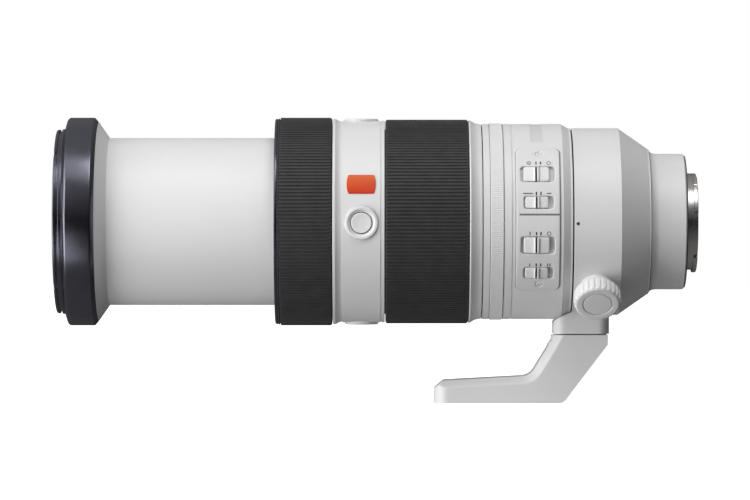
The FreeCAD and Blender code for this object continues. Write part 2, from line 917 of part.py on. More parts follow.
def switches():
    """Slide switches. Each has a flat base in its slot and a ridge for the fingertip."""
    for name, (angle, kind) in SWITCHES.items():
        body = new_body(name)
        front = getattr(d, kind + "_knob_front")
        rear = front + getattr(d, kind + "_knob_length")
        half = getattr(d, kind + "_slot_height") / 2 - d.run_gap
        middle = (front + rear) / 2
        base = new_sketch(body, "XZ_Plane", facing(angle, d.slot_floor + d.run_gap))
        draw_polygon(base, [(front, -half), (rear, -half), (rear, half), (front, half)])
        extrude(body, "Pad", base, d.switch_face - d.slot_floor - d.run_gap)
        dress(body, "Fillet", d.slot_corner - 0.3, outward_edges(angle))
        ridge = new_sketch(body, "XZ_Plane", facing(angle, d.switch_face - 0.5))
        half_ridge = d.ridge_width / 2
        draw_polygon(ridge, [(middle - half_ridge, -half), (middle + half_ridge, -half),
                             (middle + half_ridge, half), (middle - half_ridge, half)])
        extrude(body, "Pad", ridge, d.ridge_face - d.switch_face + 0.5)
        node(body, name)


def outward_edges(angle):
    tilt = math.radians(angle)
    outwards = FreeCAD.Vector(0, -math.cos(tilt), math.sin(tilt))
    return lambda edge: runs_along(edge, outwards)


def rear_frame():
    """The metal frame that the collar turns on."""
    slope = d.frame_wall * 0.4
    points = [
        (d.frame_front, d.frame_radius - d.frame_wall),
        (d.frame_front, d.frame_nose_radius),
        (d.frame_shoulder, d.frame_nose_radius),
        (d.frame_shoulder, d.frame_radius),
        (d.frame_cone_front, d.frame_radius),
        (d.frame_rear, d.frame_rear_radius),
        (d.frame_rear, d.frame_rear_radius - d.frame_wall),
        (d.frame_cone_front - slope, d.frame_radius - d.frame_wall),
    ]
    node(turned("rear_frame", points), "rear_frame")


def rear_barrel():
    """The last white barrel, which flares into the collar with a round."""
    steps = 6
    width = d.rear_round_end - d.rear_front
    drop = d.rear_front_radius - d.rear_radius
    round_off = [
        (d.rear_front + width * (1 - math.cos(math.radians(90 * i / steps))),
         d.rear_front_radius - drop * math.sin(math.radians(90 * i / steps)))
        for i in range(steps + 1)
    ]
    points = [(d.rear_front, d.rear_bore_radius)] + round_off + [
        (d.rear_end - 0.5, d.rear_radius),
        (d.rear_end, d.rear_radius - 0.5),
        (d.rear_end, d.flange_radius + 0.2),
        (-d.flange_thickness - d.joint_gap, d.flange_radius + 0.2),
        (-d.flange_thickness - d.joint_gap, d.rear_flange_bore),
        (d.rear_flange_front, d.rear_flange_bore),
        (d.rear_flange_front, d.rear_bore_radius),
    ]
    body = turned("rear_barrel", points)
    dot = new_sketch(body, "XZ_Plane", facing(0, d.rear_radius - 0.5))
    draw_circle(dot, d.index_station, 0, d.index_radius + d.joint_gap)
    extrude(body, "Pocket", dot)
    drill_mount_screws(body, d.mount_screw_shank + d.joint_gap, d.rear_flange_front)
    node(body, "rear_barrel")


def mount_screw_angles():
    return [45 + 360 / MOUNT_SCREWS * i for i in range(MOUNT_SCREWS)]


def drill_mount_screws(body, radius, floor):
    """A ring of holes along X for the mount screws, from a floor out through the flange."""
    sketch = new_sketch(body, "YZ_Plane", along(Z_AXIS, floor))
    for angle in mount_screw_angles():
        across = d.mount_screw_circle * math.cos(math.radians(angle))
        up = d.mount_screw_circle * math.sin(math.radians(angle))
        draw_circle(sketch, across, up, radius)
    extrude(body, "Pocket", sketch)


def mount_gasket():
    bore = d.flange_radius + d.joint_gap
    points = ring(d.rear_end + d.joint_gap, -d.joint_gap, bore, d.gasket_radius)
    node(turned("mount_gasket", points), "mount_gasket")


# The middle of each bayonet lug around the lens axis, and how far it spreads
LUGS = ((36.5, 51.0), (-80.0, 68.0), (158.0, 66.0))


def lens_mount():
    """The steel bayonet: a flange, a spigot and three lugs."""
    points = [
        (-d.flange_thickness, d.throat_radius),
        (-d.flange_thickness, d.flange_radius),
        (0, d.flange_radius),
        (0, d.spigot_radius),
        (d.spigot_length - d.edge_break, d.spigot_radius),
        (d.spigot_length, d.spigot_radius - d.edge_break),
        (d.spigot_length, d.throat_radius),
    ]
    body = turned("lens_mount", points)
    lug = [
        (d.lug_front, d.spigot_radius - 0.5),
        (d.lug_front, d.lug_radius),
        (d.spigot_length - d.edge_break, d.lug_radius),
        (d.spigot_length, d.lug_radius - d.edge_break),
        (d.spigot_length, d.spigot_radius - 0.5),
    ]
    for angle, spread in LUGS:
        revolve(body, lug, "Revolution", angle, spread)
    drill_mount_screws(body, d.mount_screw_shank + d.joint_gap, -d.flange_thickness)
    drill_mount_screws(body, d.mount_screw_head + d.joint_gap, d.mount_screw_seat)
    node(body, "lens_mount")


def mount_screws():
    screws = []
    seat = d.mount_screw_seat + d.joint_gap
    top = -d.joint_gap * 3
    outline = [
        (d.rear_flange_front + 0.5, 0),
        (d.rear_flange_front + 0.5, d.mount_screw_shank),
        (seat, d.mount_screw_shank),
        (seat, d.mount_screw_head),
        (top, d.mount_screw_head),
        (top, 0),
    ]
    for i, angle in enumerate(mount_screw_angles()):
        across = d.mount_screw_circle.value * math.cos(math.radians(angle))
        up = d.mount_screw_circle.value * math.sin(math.radians(angle))
        place = FreeCAD.Placement(FreeCAD.Vector(0, across, up), FreeCAD.Rotation())
        screws.append(turned(f"mount_screw_{i + 1}", outline, place))
    grouped("mount_screws", screws)


CONTACT_CENTRE = -90
CONTACT_SPREAD = 76


def contact_block():
    """The black block in the throat that holds the electrical contacts."""
    outside = d.throat_radius - d.joint_gap
    bore = d.throat_radius - d.contact_wall
    points = ring(d.contact_front, d.spigot_length - 0.4, bore, outside)
    node(sector("contact_block", points, CONTACT_CENTRE, CONTACT_SPREAD), "contact_block")


def contact_pins():
    pitch = (CONTACT_SPREAD - 8) / CONTACTS
    front = d.spigot_length - 0.35
    points = ring(front, front + 0.2, d.throat_radius - 2.4, d.throat_radius - 0.8)
    pins = []
    for i in range(CONTACTS):
        angle = CONTACT_CENTRE + pitch * (i - (CONTACTS - 1) / 2)
        pins.append(sector(f"contact_{i + 1}", points, angle, pitch * 0.6))
    grouped("contact_pins", pins)


def rear_baffle():
    """The black plate with a rectangular window behind the last lens."""
    points = pin_outline(d.baffle_front, d.baffle_rear, d.rear_flange_bore - d.joint_gap)
    body = turned("rear_baffle", points)
    window = new_sketch(body, "YZ_Plane", along(Z_AXIS, d.baffle_front - 1))
    half_across = d.baffle_window_across / 2
    half_up = d.baffle_window_up / 2
    draw_polygon(window, [(-half_across, -half_up), (half_across, -half_up),
                          (half_across, half_up), (-half_across, half_up)])
    extrude(body, "Pocket", window)
    node(body, "rear_baffle")


def mount_index_dot():
    outline = pin_outline(d.rear_radius - 0.5, d.rear_radius + 0.1, d.index_radius)
    node(turned("mount_index_dot", outline, radial(d.index_station, 0)), "mount_index_dot")


# ---- Inside the fixed barrel ---------------------------------------------------------------


def inner_chassis():
    """The tube that carries the fixed lenses, the iris and the stabiliser."""
    middle_rear = d.chassis_front + 22
    rear_wall = d.rear_cell_front + 3
    points = [
        (d.chassis_front, d.middle_cell_bore),
        (d.chassis_front, d.chassis_radius),
        (d.chassis_flange_front, d.chassis_radius),
        (d.chassis_flange_front, d.frame_radius - d.frame_wall - d.joint_gap),
        (d.chassis_flange_rear, d.frame_radius - d.frame_wall - d.joint_gap),
        (d.chassis_flange_rear, d.chassis_radius),
        (rear_wall, d.chassis_radius),
        (rear_wall, d.rear_cell_radius),
        (d.rear_cell_rear, d.rear_cell_radius),
        (d.rear_cell_rear, d.rear_cell_bore),
        (d.rear_cell_front, d.rear_cell_bore),
        (d.rear_cell_front, d.chassis_bore),
        (middle_rear, d.chassis_bore),
        (middle_rear, d.middle_cell_bore),
    ]
    node(turned("inner_chassis", points), "inner_chassis")


def fixed_lenses():
    rim = d.middle_cell_bore - d.joint_gap
    curve = d.fixed_lens_curve
    start = d.chassis_front
    grouped("middle_lens_group", [
        lens("middle_doublet", rim, start + 1, curve, start + 10, curve),
        lens("middle_singlet", rim, start + 11, curve, start + 20, curve),
    ])
    rear_rim = d.rear_cell_bore - d.joint_gap
    grouped("rear_lens_group", [
        lens("rear_relay", rear_rim, d.rear_cell_front + 1, curve, d.rear_cell_front + 7, curve),
        lens("rear_field", rear_rim, d.rear_cell_rear - 8, curve, d.rear_cell_rear - 1, curve),
    ])


def iris():
    """The diaphragm: a flat ring housing, and blades that overlap in turn."""
    half = d.iris_housing_length / 2
    outside = d.chassis_bore - d.joint_gap
    floor = d.iris_station - half + 1.5
    points = [
        (d.iris_station - half, d.iris_opening),
        (d.iris_station - half, outside),
        (d.iris_station + half, outside),
        (d.iris_station + half, outside - 2),
        (floor, outside - 2),
        (floor, d.iris_opening),
    ]
    node(turned("aperture_housing", points), "aperture_housing")
    step = 0.3
    blades = []
    for i in range(IRIS_BLADES):
        front = floor + step * (i + 1)
        leaf = ring(front, front + 0.15, d.iris_opening - 4, outside - 3)
        blades.append(sector(f"blade_{i + 1}", leaf, 360 / IRIS_BLADES * i, 70))
    grouped("aperture_blades", blades)


def guide_rods():
    """Two rods that the focusing carriage runs on."""
    front = d.iris_station + d.iris_housing_length / 2
    rods = []
    for i, up in enumerate((-1, 1)):
        outline = pin_outline(front, d.stabiliser_station, d.rod_radius)
        rods.append(turned(f"rod_{i + 1}", outline, along(Z_AXIS, d.rod_circle * up)))
    grouped("guide_rods", rods)


def focusing():
    """The carriage that slides to focus, and its lens."""
    front = d.carriage_station - d.carriage_length / 2
    rear = d.carriage_station + d.carriage_length / 2
    points = ring(front, rear, d.focus_lens_radius + d.joint_gap, d.carriage_radius)
    body = turned("focus_carriage", points)
    holes = new_sketch(body, "YZ_Plane", along(Z_AXIS, front - 1))
    for up in (-1, 1):
        draw_circle(holes, 0, d.rod_circle * up, d.rod_radius + d.joint_gap)
    extrude(body, "Pocket", holes)
    node(body, "focus_carriage")
    curve = d.focus_lens_curve
    node(lens("focus_lens", d.focus_lens_radius, front + 1.5, curve, rear - 1.5, curve), "focus_lens")


def stabiliser():
    """A fixed base, a frame that shifts up and down on it, and a frame that shifts across on that."""
    base_front = d.stabiliser_station
    base_rear = base_front + d.stabiliser_base_length
    outside = d.chassis_bore - d.joint_gap
    base = turned("stabiliser_base", ring(base_front, base_rear, d.stabiliser_base_bore, outside))
    node(base, "stabiliser_base")
    pitch_front = base_rear + d.run_gap
    pitch_rear = pitch_front + d.stabiliser_thickness
    points = ring(pitch_front, pitch_rear, d.stabiliser_pitch_bore, outside - 2.5)
    node(turned("stabiliser_pitch_frame", points), "stabiliser_pitch_frame")
    lens_front = pitch_rear + d.run_gap
    lens_rear = lens_front + d.stabiliser_thickness * 2
    rim = d.stabiliser_lens_radius
    points = ring(lens_front, lens_rear, rim + d.joint_gap, outside - 4.5)
    node(turned("stabiliser_lens_frame", points), "stabiliser_lens_frame")
    curve = d.stabiliser_lens_curve
    glass = lens("stabiliser_lens", rim, lens_front + 0.1, curve, lens_rear - 0.1, curve)
    node(glass, "stabiliser_lens")


def main_board():
    points = ring(d.board_front, d.board_rear, d.rear_cell_radius + d.run_gap, d.board_radius)
    node(turned("main_board", points), "main_board")


# ---- The rings that turn --------------------------------------------------------------------


def focus_ring():
    rubber_bore = d.focus_grip_radius - d.rubber_wall
    sleeve = [
        (d.focus_front, d.focus_mouth_radius),
        (d.focus_front, d.focus_trim_radius - 0.4),
        (d.focus_front + 0.4, d.focus_trim_radius),
        (d.focus_trim_rear, d.focus_trim_radius),
        (d.focus_trim_rear, rubber_bore),
        (d.focus_rear, rubber_bore),
        (d.focus_rear, d.focus_bore_radius),
        (d.focus_mouth_rear, d.focus_bore_radius),
    ]
    node(turned("focus_ring_sleeve", sleeve), "focus_ring_sleeve")
    rubber = grip_outline(d.focus_trim_rear, d.focus_rear, rubber_bore, d.focus_grip_radius)
    node(turned("focus_grip", rubber), "focus_grip")


def grip_outline(front, rear, bore, outside):
    """The outline of a rubber grip, with its outer edges eased."""
    return [
        (front, bore),
        (front, outside - d.edge_break),
        (front + d.edge_break, outside),
        (rear - d.edge_break, outside),
        (rear, outside - d.edge_break),
        (rear, bore),
    ]


def zoom_ring():
    rubber_bore = d.zoom_grip_radius - d.rubber_wall
    sleeve = [
        (d.zoom_front, d.zoom_bore_radius),
        (d.zoom_front, rubber_bore),
        (d.zoom_grip_rear, rubber_bore),
        (d.zoom_grip_rear, d.zoom_flare_radius),
        (d.zoom_grip_rear + 0.6, d.zoom_flare_radius),
        (d.zoom_grip_rear + 1.8, d.zoom_flare_radius - 0.7),
        (d.zoom_grip_rear + 3.5, d.zoom_rear_radius + 0.5),
        (d.zoom_rear - 0.7, d.zoom_rear_radius + 0.1),
        (d.zoom_rear - 0.2, d.zoom_rear_radius),
        (d.zoom_rear, d.zoom_rear_radius - 0.2),
        (d.zoom_rear, d.zoom_bore_radius),
    ]
    node(turned("zoom_ring_sleeve", sleeve), "zoom_ring_sleeve")
    rubber = grip_outline(d.zoom_front, d.zoom_grip_rear, rubber_bore, d.zoom_grip_radius)
    node(turned("zoom_grip", rubber), "zoom_grip")


def cam_tube():
    """The tube inside the zoom ring whose three slanted slots drive the front group."""
    body = turned("cam_tube", ring(d.cam_front, d.cam_rear, d.cam_bore_radius, d.cam_radius))
    key = ring(d.key_front, d.key_rear, d.cam_radius - 0.5, d.zoom_bore_radius - d.joint_gap)
    repeat(body, revolve(body, key, "Revolution", 60, d.key_spread), FOLLOWERS)
    doc.recompute()
    slope = math.radians(SHEET["zoom_turn"]) * SHEET["follower_tip"] / SHEET["zoom_travel"]
    half_width = (d.follower_radius + d.run_gap) * math.hypot(1, slope)
    margin = d.follower_radius + d.run_gap
    per_turn = d.zoom_travel * (360 / SHEET["zoom_turn"])
    lead_angle = SHEET["zoom_turn"] / SHEET["zoom_travel"] * margin.value
    start = Z_AXIS * (d.follower_station - margin).value
    for i in range(FOLLOWERS):
        turn = FreeCAD.Rotation(Z_AXIS, 180 + lead_angle - 360 / FOLLOWERS * i)
        profile = new_sketch(body, "YZ_Plane", FreeCAD.Placement(start, turn))
        draw_polygon(profile, [(d.cam_bore_radius - 1, -half_width), (d.cam_radius + 0.8, -half_width),
                               (d.cam_radius + 0.8, half_width), (d.cam_bore_radius - 1, half_width)])
        cutter = body.newObject("PartDesign::SubtractiveHelix", "SubtractiveHelix")
        cutter.Profile = profile
        cutter.ReferenceAxis = (origin_part(body, "X_Axis"), [""])
        cutter.Mode = "pitch-height-angle"
        bind(cutter, "Pitch", per_turn)
        bind(cutter, "Height", d.zoom_travel + margin * 2)
        cutter.LeftHanded = True
    node(body, "cam_tube")


def torque_ring():
    """The narrow ring that sets how stiffly the zoom turns."""
    bore = d.seat_radius + d.run_gap
    outline = grip_outline(d.torque_front, d.torque_rear, bore, d.torque_radius)
    node(turned("torque_ring", outline), "torque_ring")


# ---- The tripod collar, its knob and its foot -----------------------------------------------


def tripod_collar():
    """The turning collar with its bracket, the boss of its clamp and the groove of the foot's rail."""
    body = new_body("tripod_collar")
    top = -d.collar_bore_radius + 6
    side = new_sketch(body, "XZ_Plane")
    draw_polygon(side, [(d.bracket_front, d.bracket_bottom), (d.bracket_rear, d.bracket_bottom),
                        (d.bracket_rear, top), (d.bracket_front, top)])
    extrude(body, "Pad", side, d.bracket_width, both_ways=True)
    dress(body, "Fillet", d.bracket_corner, lambda edge: runs_along(edge, Z_AXIS))
    wall_middle = (d.collar_radius + d.collar_bore_radius) / 2
    rear_middle = (d.collar_rear_radius + d.collar_rear_bore) / 2
    hollow = [
        (d.bracket_front - 1, 0),
        (d.bracket_front - 1, d.bracket_reach_radius + 1.3),
        (d.barrel_cone_front - 0.5, d.bracket_reach_radius),
        (d.collar_front - 0.6, d.barrel_rear_radius + 0.7),
        (d.collar_front, wall_middle + 1),
        (d.collar_front, wall_middle),
        (d.collar_cone_front, wall_middle),
        (d.collar_rear, rear_middle),
        (d.collar_rear, 0),
    ]
    revolve(body, hollow, "Groove")
    lip = d.collar_rear - 0.9
    shell = [
        (d.collar_front, d.collar_bore_radius),
        (d.collar_front, d.collar_radius - d.edge_break),
        (d.collar_front + d.edge_break, d.collar_radius),
        (d.collar_cone_front, d.collar_radius),
        (lip, d.collar_rear_radius + 0.3),
        (lip, d.collar_rear_radius),
        (d.collar_rear - 0.15, d.collar_rear_radius),
        (d.collar_rear, d.collar_rear_radius - 0.15),
        (d.collar_rear, d.collar_rear_bore),
        (d.collar_bore_cone, d.collar_bore_radius),
    ]
    revolve(body, shell)
    boss = new_sketch(body, "XZ_Plane", facing(d.lock_angle, d.collar_radius - 1.2))
    draw_circle(boss, d.lock_station, 0, d.lock_boss_radius)
    extrude(body, "Pad", boss, d.lock_back - d.run_gap - d.collar_radius + 1.2)
    hole = new_sketch(body, "XZ_Plane", facing(d.lock_angle))
    draw_circle(hole, d.lock_station, 0, d.clamp_radius + d.joint_gap)
    extrude(body, "Pocket", hole)
    pivot = new_sketch(body, "XZ_Plane", side_plane(d.bracket_width / 2 - 3.6))
    draw_circle(pivot, d.lever_station, d.lever_height, d.lever_pivot_radius + d.joint_gap)
    extrude(body, "Pocket", pivot, d.lever_pivot_length, outwards=False)
    groove = new_sketch(body, "YZ_Plane", along(Z_AXIS, d.rail_front - d.run_gap))
    draw_polygon(groove, rail_outline(d.run_gap, d.bracket_bottom - 1))
    extrude(body, "Pocket", groove)
    node(body, "tripod_collar")


def rail_outline(margin, bottom):
    """The dovetail rail's section: narrow at the neck, wide at the head."""
    head_up = d.foot_top + d.rail_height + margin
    head_low = head_up - 1.2 - margin * 2
    neck = d.rail_neck / 2 + margin
    head = d.rail_head / 2 + margin
    return [(-neck, bottom), (neck, bottom), (neck, head_low - 1), (head, head_low),
            (head, head_up), (-head, head_up), (-head, head_low), (-neck, head_low - 1)]


def tripod_foot():
    """The cranked foot, one casting with the rail that slides into the bracket."""
    body = new_body("tripod_foot")
    side = new_sketch(body, "XZ_Plane")
    draw_polygon(side, [
        (d.foot_neck_front, d.foot_top),
        (d.foot_shoulder_front, d.foot_shoulder),
        (d.foot_knee, d.foot_arm_top + 1.0),
        (d.foot_tip + d.foot_nose_length, d.foot_arm_top - 1.1),
        (d.foot_tip, d.foot_arm_top - d.foot_nose_height),
        (d.foot_tip, d.foot_bottom),
        (d.foot_heel, d.foot_bottom),
        (d.foot_neck_rear - 0.1, d.foot_shoulder - 0.2),
        (d.foot_neck_rear, d.foot_top),
    ])
    extrude(body, "Pad", side, d.foot_width, both_ways=True)
    half = d.foot_width.value / 2
    tip = d.foot_tip.value
    knee_x = d.foot_knee.value
    sole = d.foot_bottom.value

    def at_heel(edge):
        point = edge.Vertexes[0].Point
        return runs_along(edge, Y_AXIS) and point.z < sole + 0.01 and point.x > knee_x

    def at_knee(edge):
        return runs_along(edge, Y_AXIS) and abs(edge.Vertexes[0].Point.x - knee_x) < 0.01

    def upper_side(edge):
        middle = edge.CenterOfMass
        on_side = abs(abs(middle.y) - half) < 0.01
        between = tip + 3.4 < middle.x < d.foot_neck_front.value - 0.6
        return on_side and between and middle.z > sole + 3.6

    def front_upright(edge):
        return runs_along(edge, Z_AXIS) and edge.Vertexes[0].Point.x < tip + 0.4

    def round_nose(edge):
        return edge.CenterOfMass.x < tip + 5.4 and edge.CenterOfMass.z > sole + 1.6

    dress(body, "Fillet", d.foot_knee_round, at_knee)
    dress(body, "Fillet", d.foot_heel_round, at_heel)
    dress(body, "Chamfer", d.foot_chamfer, upper_side)
    dress(body, "Fillet", d.foot_nose_round, front_upright)
    dress(body, "Fillet", d.foot_nose_round / 4, round_nose)
    pad = new_sketch(body, "XZ_Plane")
    draw_polygon(pad, [
        (d.foot_neck_front - 1.1, d.foot_top),
        (d.foot_neck_front - 1.4, d.foot_shoulder + 1.6),
        (d.foot_shoulder_front - 0.5, d.foot_shoulder + 0.2),
        (d.foot_shoulder_front, d.foot_shoulder - 0.8),
        (d.foot_neck_front + 2, d.foot_shoulder - 0.8),
        (d.foot_neck_front + 2, d.foot_top),
    ])
    extrude(body, "Pad", pad, d.foot_pad_width, both_ways=True)
    rail = new_sketch(body, "YZ_Plane", along(Z_AXIS, d.rail_front))
    draw_polygon(rail, rail_outline(0, d.foot_top - 1))
    extrude(body, "Pad", rail, d.bracket_rear - d.rail_front - 1)
    hole = new_sketch(body, "XY_Plane", along(Z_AXIS, d.foot_bottom + d.socket_depth))
    draw_circle(hole, d.socket_station, 0, d.bush_radius + 0.01)
    extrude(body, "Pocket", hole, outwards=False)
    node(body, "tripod_foot")


def tripod_socket():
    """The threaded bush in the sole of the foot."""
    sole = FreeCAD.Vector(d.socket_station.value, 0, d.foot_bottom.value)
    upright = FreeCAD.Placement(sole, FreeCAD.Rotation(Y_AXIS, -90))
    points = [
        (d.joint_gap * 2, d.socket_radius),
        (d.joint_gap * 2, d.bush_radius),
        (d.socket_depth - d.joint_gap, d.bush_radius),
        (d.socket_depth - d.joint_gap, 0),
        (d.socket_depth - 0.8, 0),
        (d.socket_depth - 0.8, d.socket_radius),
    ]
    node(turned("tripod_socket", points, upright), "tripod_socket")


def side_plane(distance):
    """Where a sketch goes to face the far side, at a distance from the middle plane."""
    return along(Z_AXIS, -as_size(distance))


def foot_lock_lever():
    """The small lever on the far side that locks the foot on its rail, with its pivot pin."""
    body = new_body("foot_lock_lever")
    inner_face = d.foot_width / 2 + d.run_gap
    outer_face = inner_face + d.lever_thickness
    sketch = new_sketch(body, "XZ_Plane", side_plane(outer_face))
    station = d.lever_station
    height = d.lever_height
    draw_polygon(sketch, [
        (station - d.lever_root, height - d.lever_half_height - 0.8),
        (station + d.lever_tip - 1.6, height - d.lever_half_height),
        (station + d.lever_tip, height - 0.4),
        (station + d.lever_tip - 1.6, height + d.lever_half_height - 0.6),
        (station + 2.6, height + d.lever_half_height),
        (station - d.lever_root, height + d.lever_half_height),
    ])
    extrude(body, "Pad", sketch, d.lever_thickness)
    dress(body, "Fillet", d.lever_round, lambda edge: runs_along(edge, Y_AXIS))
    pivot = new_sketch(body, "XZ_Plane", side_plane(inner_face + 1))
    draw_circle(pivot, station, height, d.lever_pivot_radius)
    extrude(body, "Pad", pivot, d.lever_pivot_length + 1)
    node(body, "foot_lock_lever")


def lock_knob():
    """The fluted knob that clamps the collar, its cap and its screw."""
    place = radial(d.lock_station, d.lock_angle)
    bore = d.clamp_radius + 0.01
    knob = [
        (d.lock_back, bore),
        (d.lock_back, d.lock_radius - 0.9),
        (d.lock_back + 0.9, d.lock_radius),
        (d.lock_face - 1.5, d.lock_radius),
        (d.lock_face - 0.2, d.lock_face_radius),
        (d.lock_face, d.lock_face_radius - 0.3),
        (d.lock_face, d.lock_cap_radius + d.joint_gap),
        (d.lock_face - 0.9, d.lock_cap_radius + d.joint_gap),
        (d.lock_face - 0.9, bore),
    ]
    body = turned("lock_knob", knob, place)
    flute = new_sketch(body, "YZ_Plane", along(Z_AXIS, d.lock_back - 1))
    draw_circle(flute, d.lock_radius + 0.45, 0, d.lock_flute_radius)
    repeat(body, extrude(body, "Pocket", flute), int(SHEET["lock_flutes"]))
    node(body, "lock_knob")
    cap = pin_outline(d.lock_face - 0.85, d.lock_face - 0.05, d.lock_cap_radius)
    node(turned("lock_knob_cap", cap, place), "lock_knob_cap")
    screw = pin_outline(d.collar_bore_radius + 0.1, d.lock_face - 0.9, d.clamp_radius)
    node(turned("clamp_screw", screw, place), "clamp_screw")


for make in (
    filter_ring, front_bumper_ring, extending_tube, cam_followers, front_lens_cell, retaining_ring,
    front_glass, guide_tube, dust_seal, button_band, hold_buttons, badge, main_barrel, name_plate,
    switch_panel, panel_screws, switches, rear_frame, rear_barrel, mount_gasket, lens_mount,
    mount_screws, contact_block, contact_pins, rear_baffle, mount_index_dot, inner_chassis,
    fixed_lenses, iris, guide_rods, focusing, stabiliser, main_board, focus_ring, zoom_ring,
    cam_tube, torque_ring, tripod_collar, tripod_foot, tripod_socket, foot_lock_lever, lock_knob,
):
    make()

doc.recompute()
for item in doc.Objects:
    if "Invalid" in item.State or "Error" in item.State:
        raise RuntimeError(f"{item.Label} failed: {item.State}")
for item in nodes:
    if item.Shape.isNull() or not item.Shape.isValid():
        raise RuntimeError(f"{item.Label} has a bad shape")
for item in nodes:
    item.Shape.exportStep(f"parts/{item.Label}.step")
print(len(nodes), "sub-parts")
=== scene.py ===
"""Looks for the telephoto zoom lens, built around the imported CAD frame.

The lens axis is X: the front looks along -X and the camera side is +X. +Z is up and the switches face -Y.
Angles around the lens axis are counted from -Y (0 degrees) towards +Z (90 degrees).
Stations (along X), radii (from the axis) and all other sizes are in millimetres until a mesh is made.
"""

import json
import math

import bmesh
import bpy
from mathutils import Matrix, Vector


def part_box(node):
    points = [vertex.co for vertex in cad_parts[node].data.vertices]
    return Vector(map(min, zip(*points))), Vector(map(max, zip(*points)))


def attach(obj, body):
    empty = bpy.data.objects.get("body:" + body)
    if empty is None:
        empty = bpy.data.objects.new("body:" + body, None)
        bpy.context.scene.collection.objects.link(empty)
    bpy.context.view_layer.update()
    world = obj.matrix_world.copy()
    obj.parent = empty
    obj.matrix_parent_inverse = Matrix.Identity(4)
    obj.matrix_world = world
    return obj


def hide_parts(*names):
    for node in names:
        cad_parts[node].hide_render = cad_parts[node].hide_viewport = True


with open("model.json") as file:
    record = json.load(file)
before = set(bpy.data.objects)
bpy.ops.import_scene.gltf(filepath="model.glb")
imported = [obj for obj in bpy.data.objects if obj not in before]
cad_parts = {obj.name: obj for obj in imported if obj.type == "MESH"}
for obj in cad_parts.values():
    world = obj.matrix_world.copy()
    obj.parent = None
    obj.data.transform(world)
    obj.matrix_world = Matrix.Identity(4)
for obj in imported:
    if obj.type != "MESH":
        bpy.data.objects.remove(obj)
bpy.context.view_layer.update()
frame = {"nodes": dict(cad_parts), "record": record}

MM = 0.001


def station_range(node):
    """The first and last station of a CAD node."""
    low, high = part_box(node)
    return low.x / MM, high.x / MM


def outer_radius(node):
    """The largest distance of a turned CAD node from the lens axis."""
    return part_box(node)[1].y / MM


def outwards(angle):
    """The direction away from the lens axis at an angle around it."""
    turn = math.radians(angle)
    return Vector((0, -math.cos(turn), math.sin(turn)))


def upwards(angle):
    """The direction around the barrel in which the angle grows."""
    turn = math.radians(angle)
    return Vector((0, math.sin(turn), math.cos(turn)))


# ---- Finishes ---------------------------------------------------------------------------


class Finish:
    """A procedural material. Sizes are in mm."""

    def __init__(self, name, colour, roughness, metallic=0.0, sockets=None):
        self.made = bpy.data.materials.new(name)
        self.made.use_nodes = True
        self.nodes = self.made.node_tree.nodes
        self.shader = self.nodes["Principled BSDF"]
        self.shader.inputs["Metallic"].default_value = metallic
        for key, value in (sockets or {}).items():
            self.shader.inputs[key].default_value = value
        self.colour = colour
        self.roughness = roughness
        self.place = self.nodes.new("ShaderNodeTexCoord").outputs["Object"]
        self.normal = None

    def link(self, source, target):
        self.made.node_tree.links.new(source, target)

    def noise(self, size, detail=2.0, stretch=None):
        """Cloudy noise. stretch scales the texture along X, Y and Z."""
        source = self.place
        if stretch:
            scale = self.nodes.new("ShaderNodeMapping")
            scale.inputs["Scale"].default_value = stretch
            self.link(source, scale.inputs["Vector"])
            source = scale.outputs["Vector"]
        noise = self.nodes.new("ShaderNodeTexNoise")
        noise.inputs["Scale"].default_value = 1 / (size * MM)
        noise.inputs["Detail"].default_value = detail
        self.link(source, noise.inputs["Vector"])
        return noise.outputs["Fac"]

    def tinted(self, spread, size):
        """Slow changes of tone over the surface."""
        ramp = self.nodes.new("ShaderNodeValToRGB")
        ramp.color_ramp.elements[0].position = 0.3
        ramp.color_ramp.elements[1].position = 0.7
        ramp.color_ramp.elements[0].color = (*[c * (1 - spread) for c in self.colour], 1)
        ramp.color_ramp.elements[1].color = (*[min(1, c * (1 + spread)) for c in self.colour], 1)
        self.link(self.noise(size, 3), ramp.inputs["Fac"])
        self.link(ramp.outputs["Color"], self.shader.inputs["Base Color"])
        return self

    def worn(self, spread, size):
        """Roughness that changes a little from place to place."""
        change = self.nodes.new("ShaderNodeMapRange")
        change.inputs["From Min"].default_value = 0.3
        change.inputs["From Max"].default_value = 0.7
        change.inputs["To Min"].default_value = max(0.02, self.roughness - spread)
        change.inputs["To Max"].default_value = min(1.0, self.roughness + spread)
        self.link(self.noise(size, 3), change.inputs["Value"])
        self.link(change.outputs["Result"], self.shader.inputs["Roughness"])
        return self

    def bumped(self, height, strength, depth):
        bump = self.nodes.new("ShaderNodeBump")
        bump.inputs["Strength"].default_value = strength
        bump.inputs["Distance"].default_value = depth * MM
        self.link(height, bump.inputs["Height"])
        if self.normal:
            self.link(self.normal, bump.inputs["Normal"])
        self.normal = bump.outputs["Normal"]
        self.link(self.normal, self.shader.inputs["Normal"])
        return self

    def grained(self, size, strength, depth=0.03):
        """A fine even grain, such as sprayed paint or moulded rubber."""
        return self.bumped(self.noise(size), strength, depth)

    def turned(self, pitch, strength):
        """Fine rings around the lens axis, as a lathe leaves."""
        return self.bumped(self.noise(pitch, 1, (1, 0.004, 0.004)), strength, 0.02)


def painted(name, tone, roughness, grain):
    finish = Finish(name, (tone, tone, tone * 1.003), roughness)
    return finish.tinted(0.012, 25).worn(0.05, 8).grained(0.16, grain)


def black(name, tone, roughness, grain, size=0.25, **sockets):
    named = {key.replace("_", " "): value for key, value in sockets.items()}
    finish = Finish(name, (tone, tone, tone), roughness, sockets=named)
    return finish.tinted(0.15, 6).worn(0.08, 3).grained(size, grain)


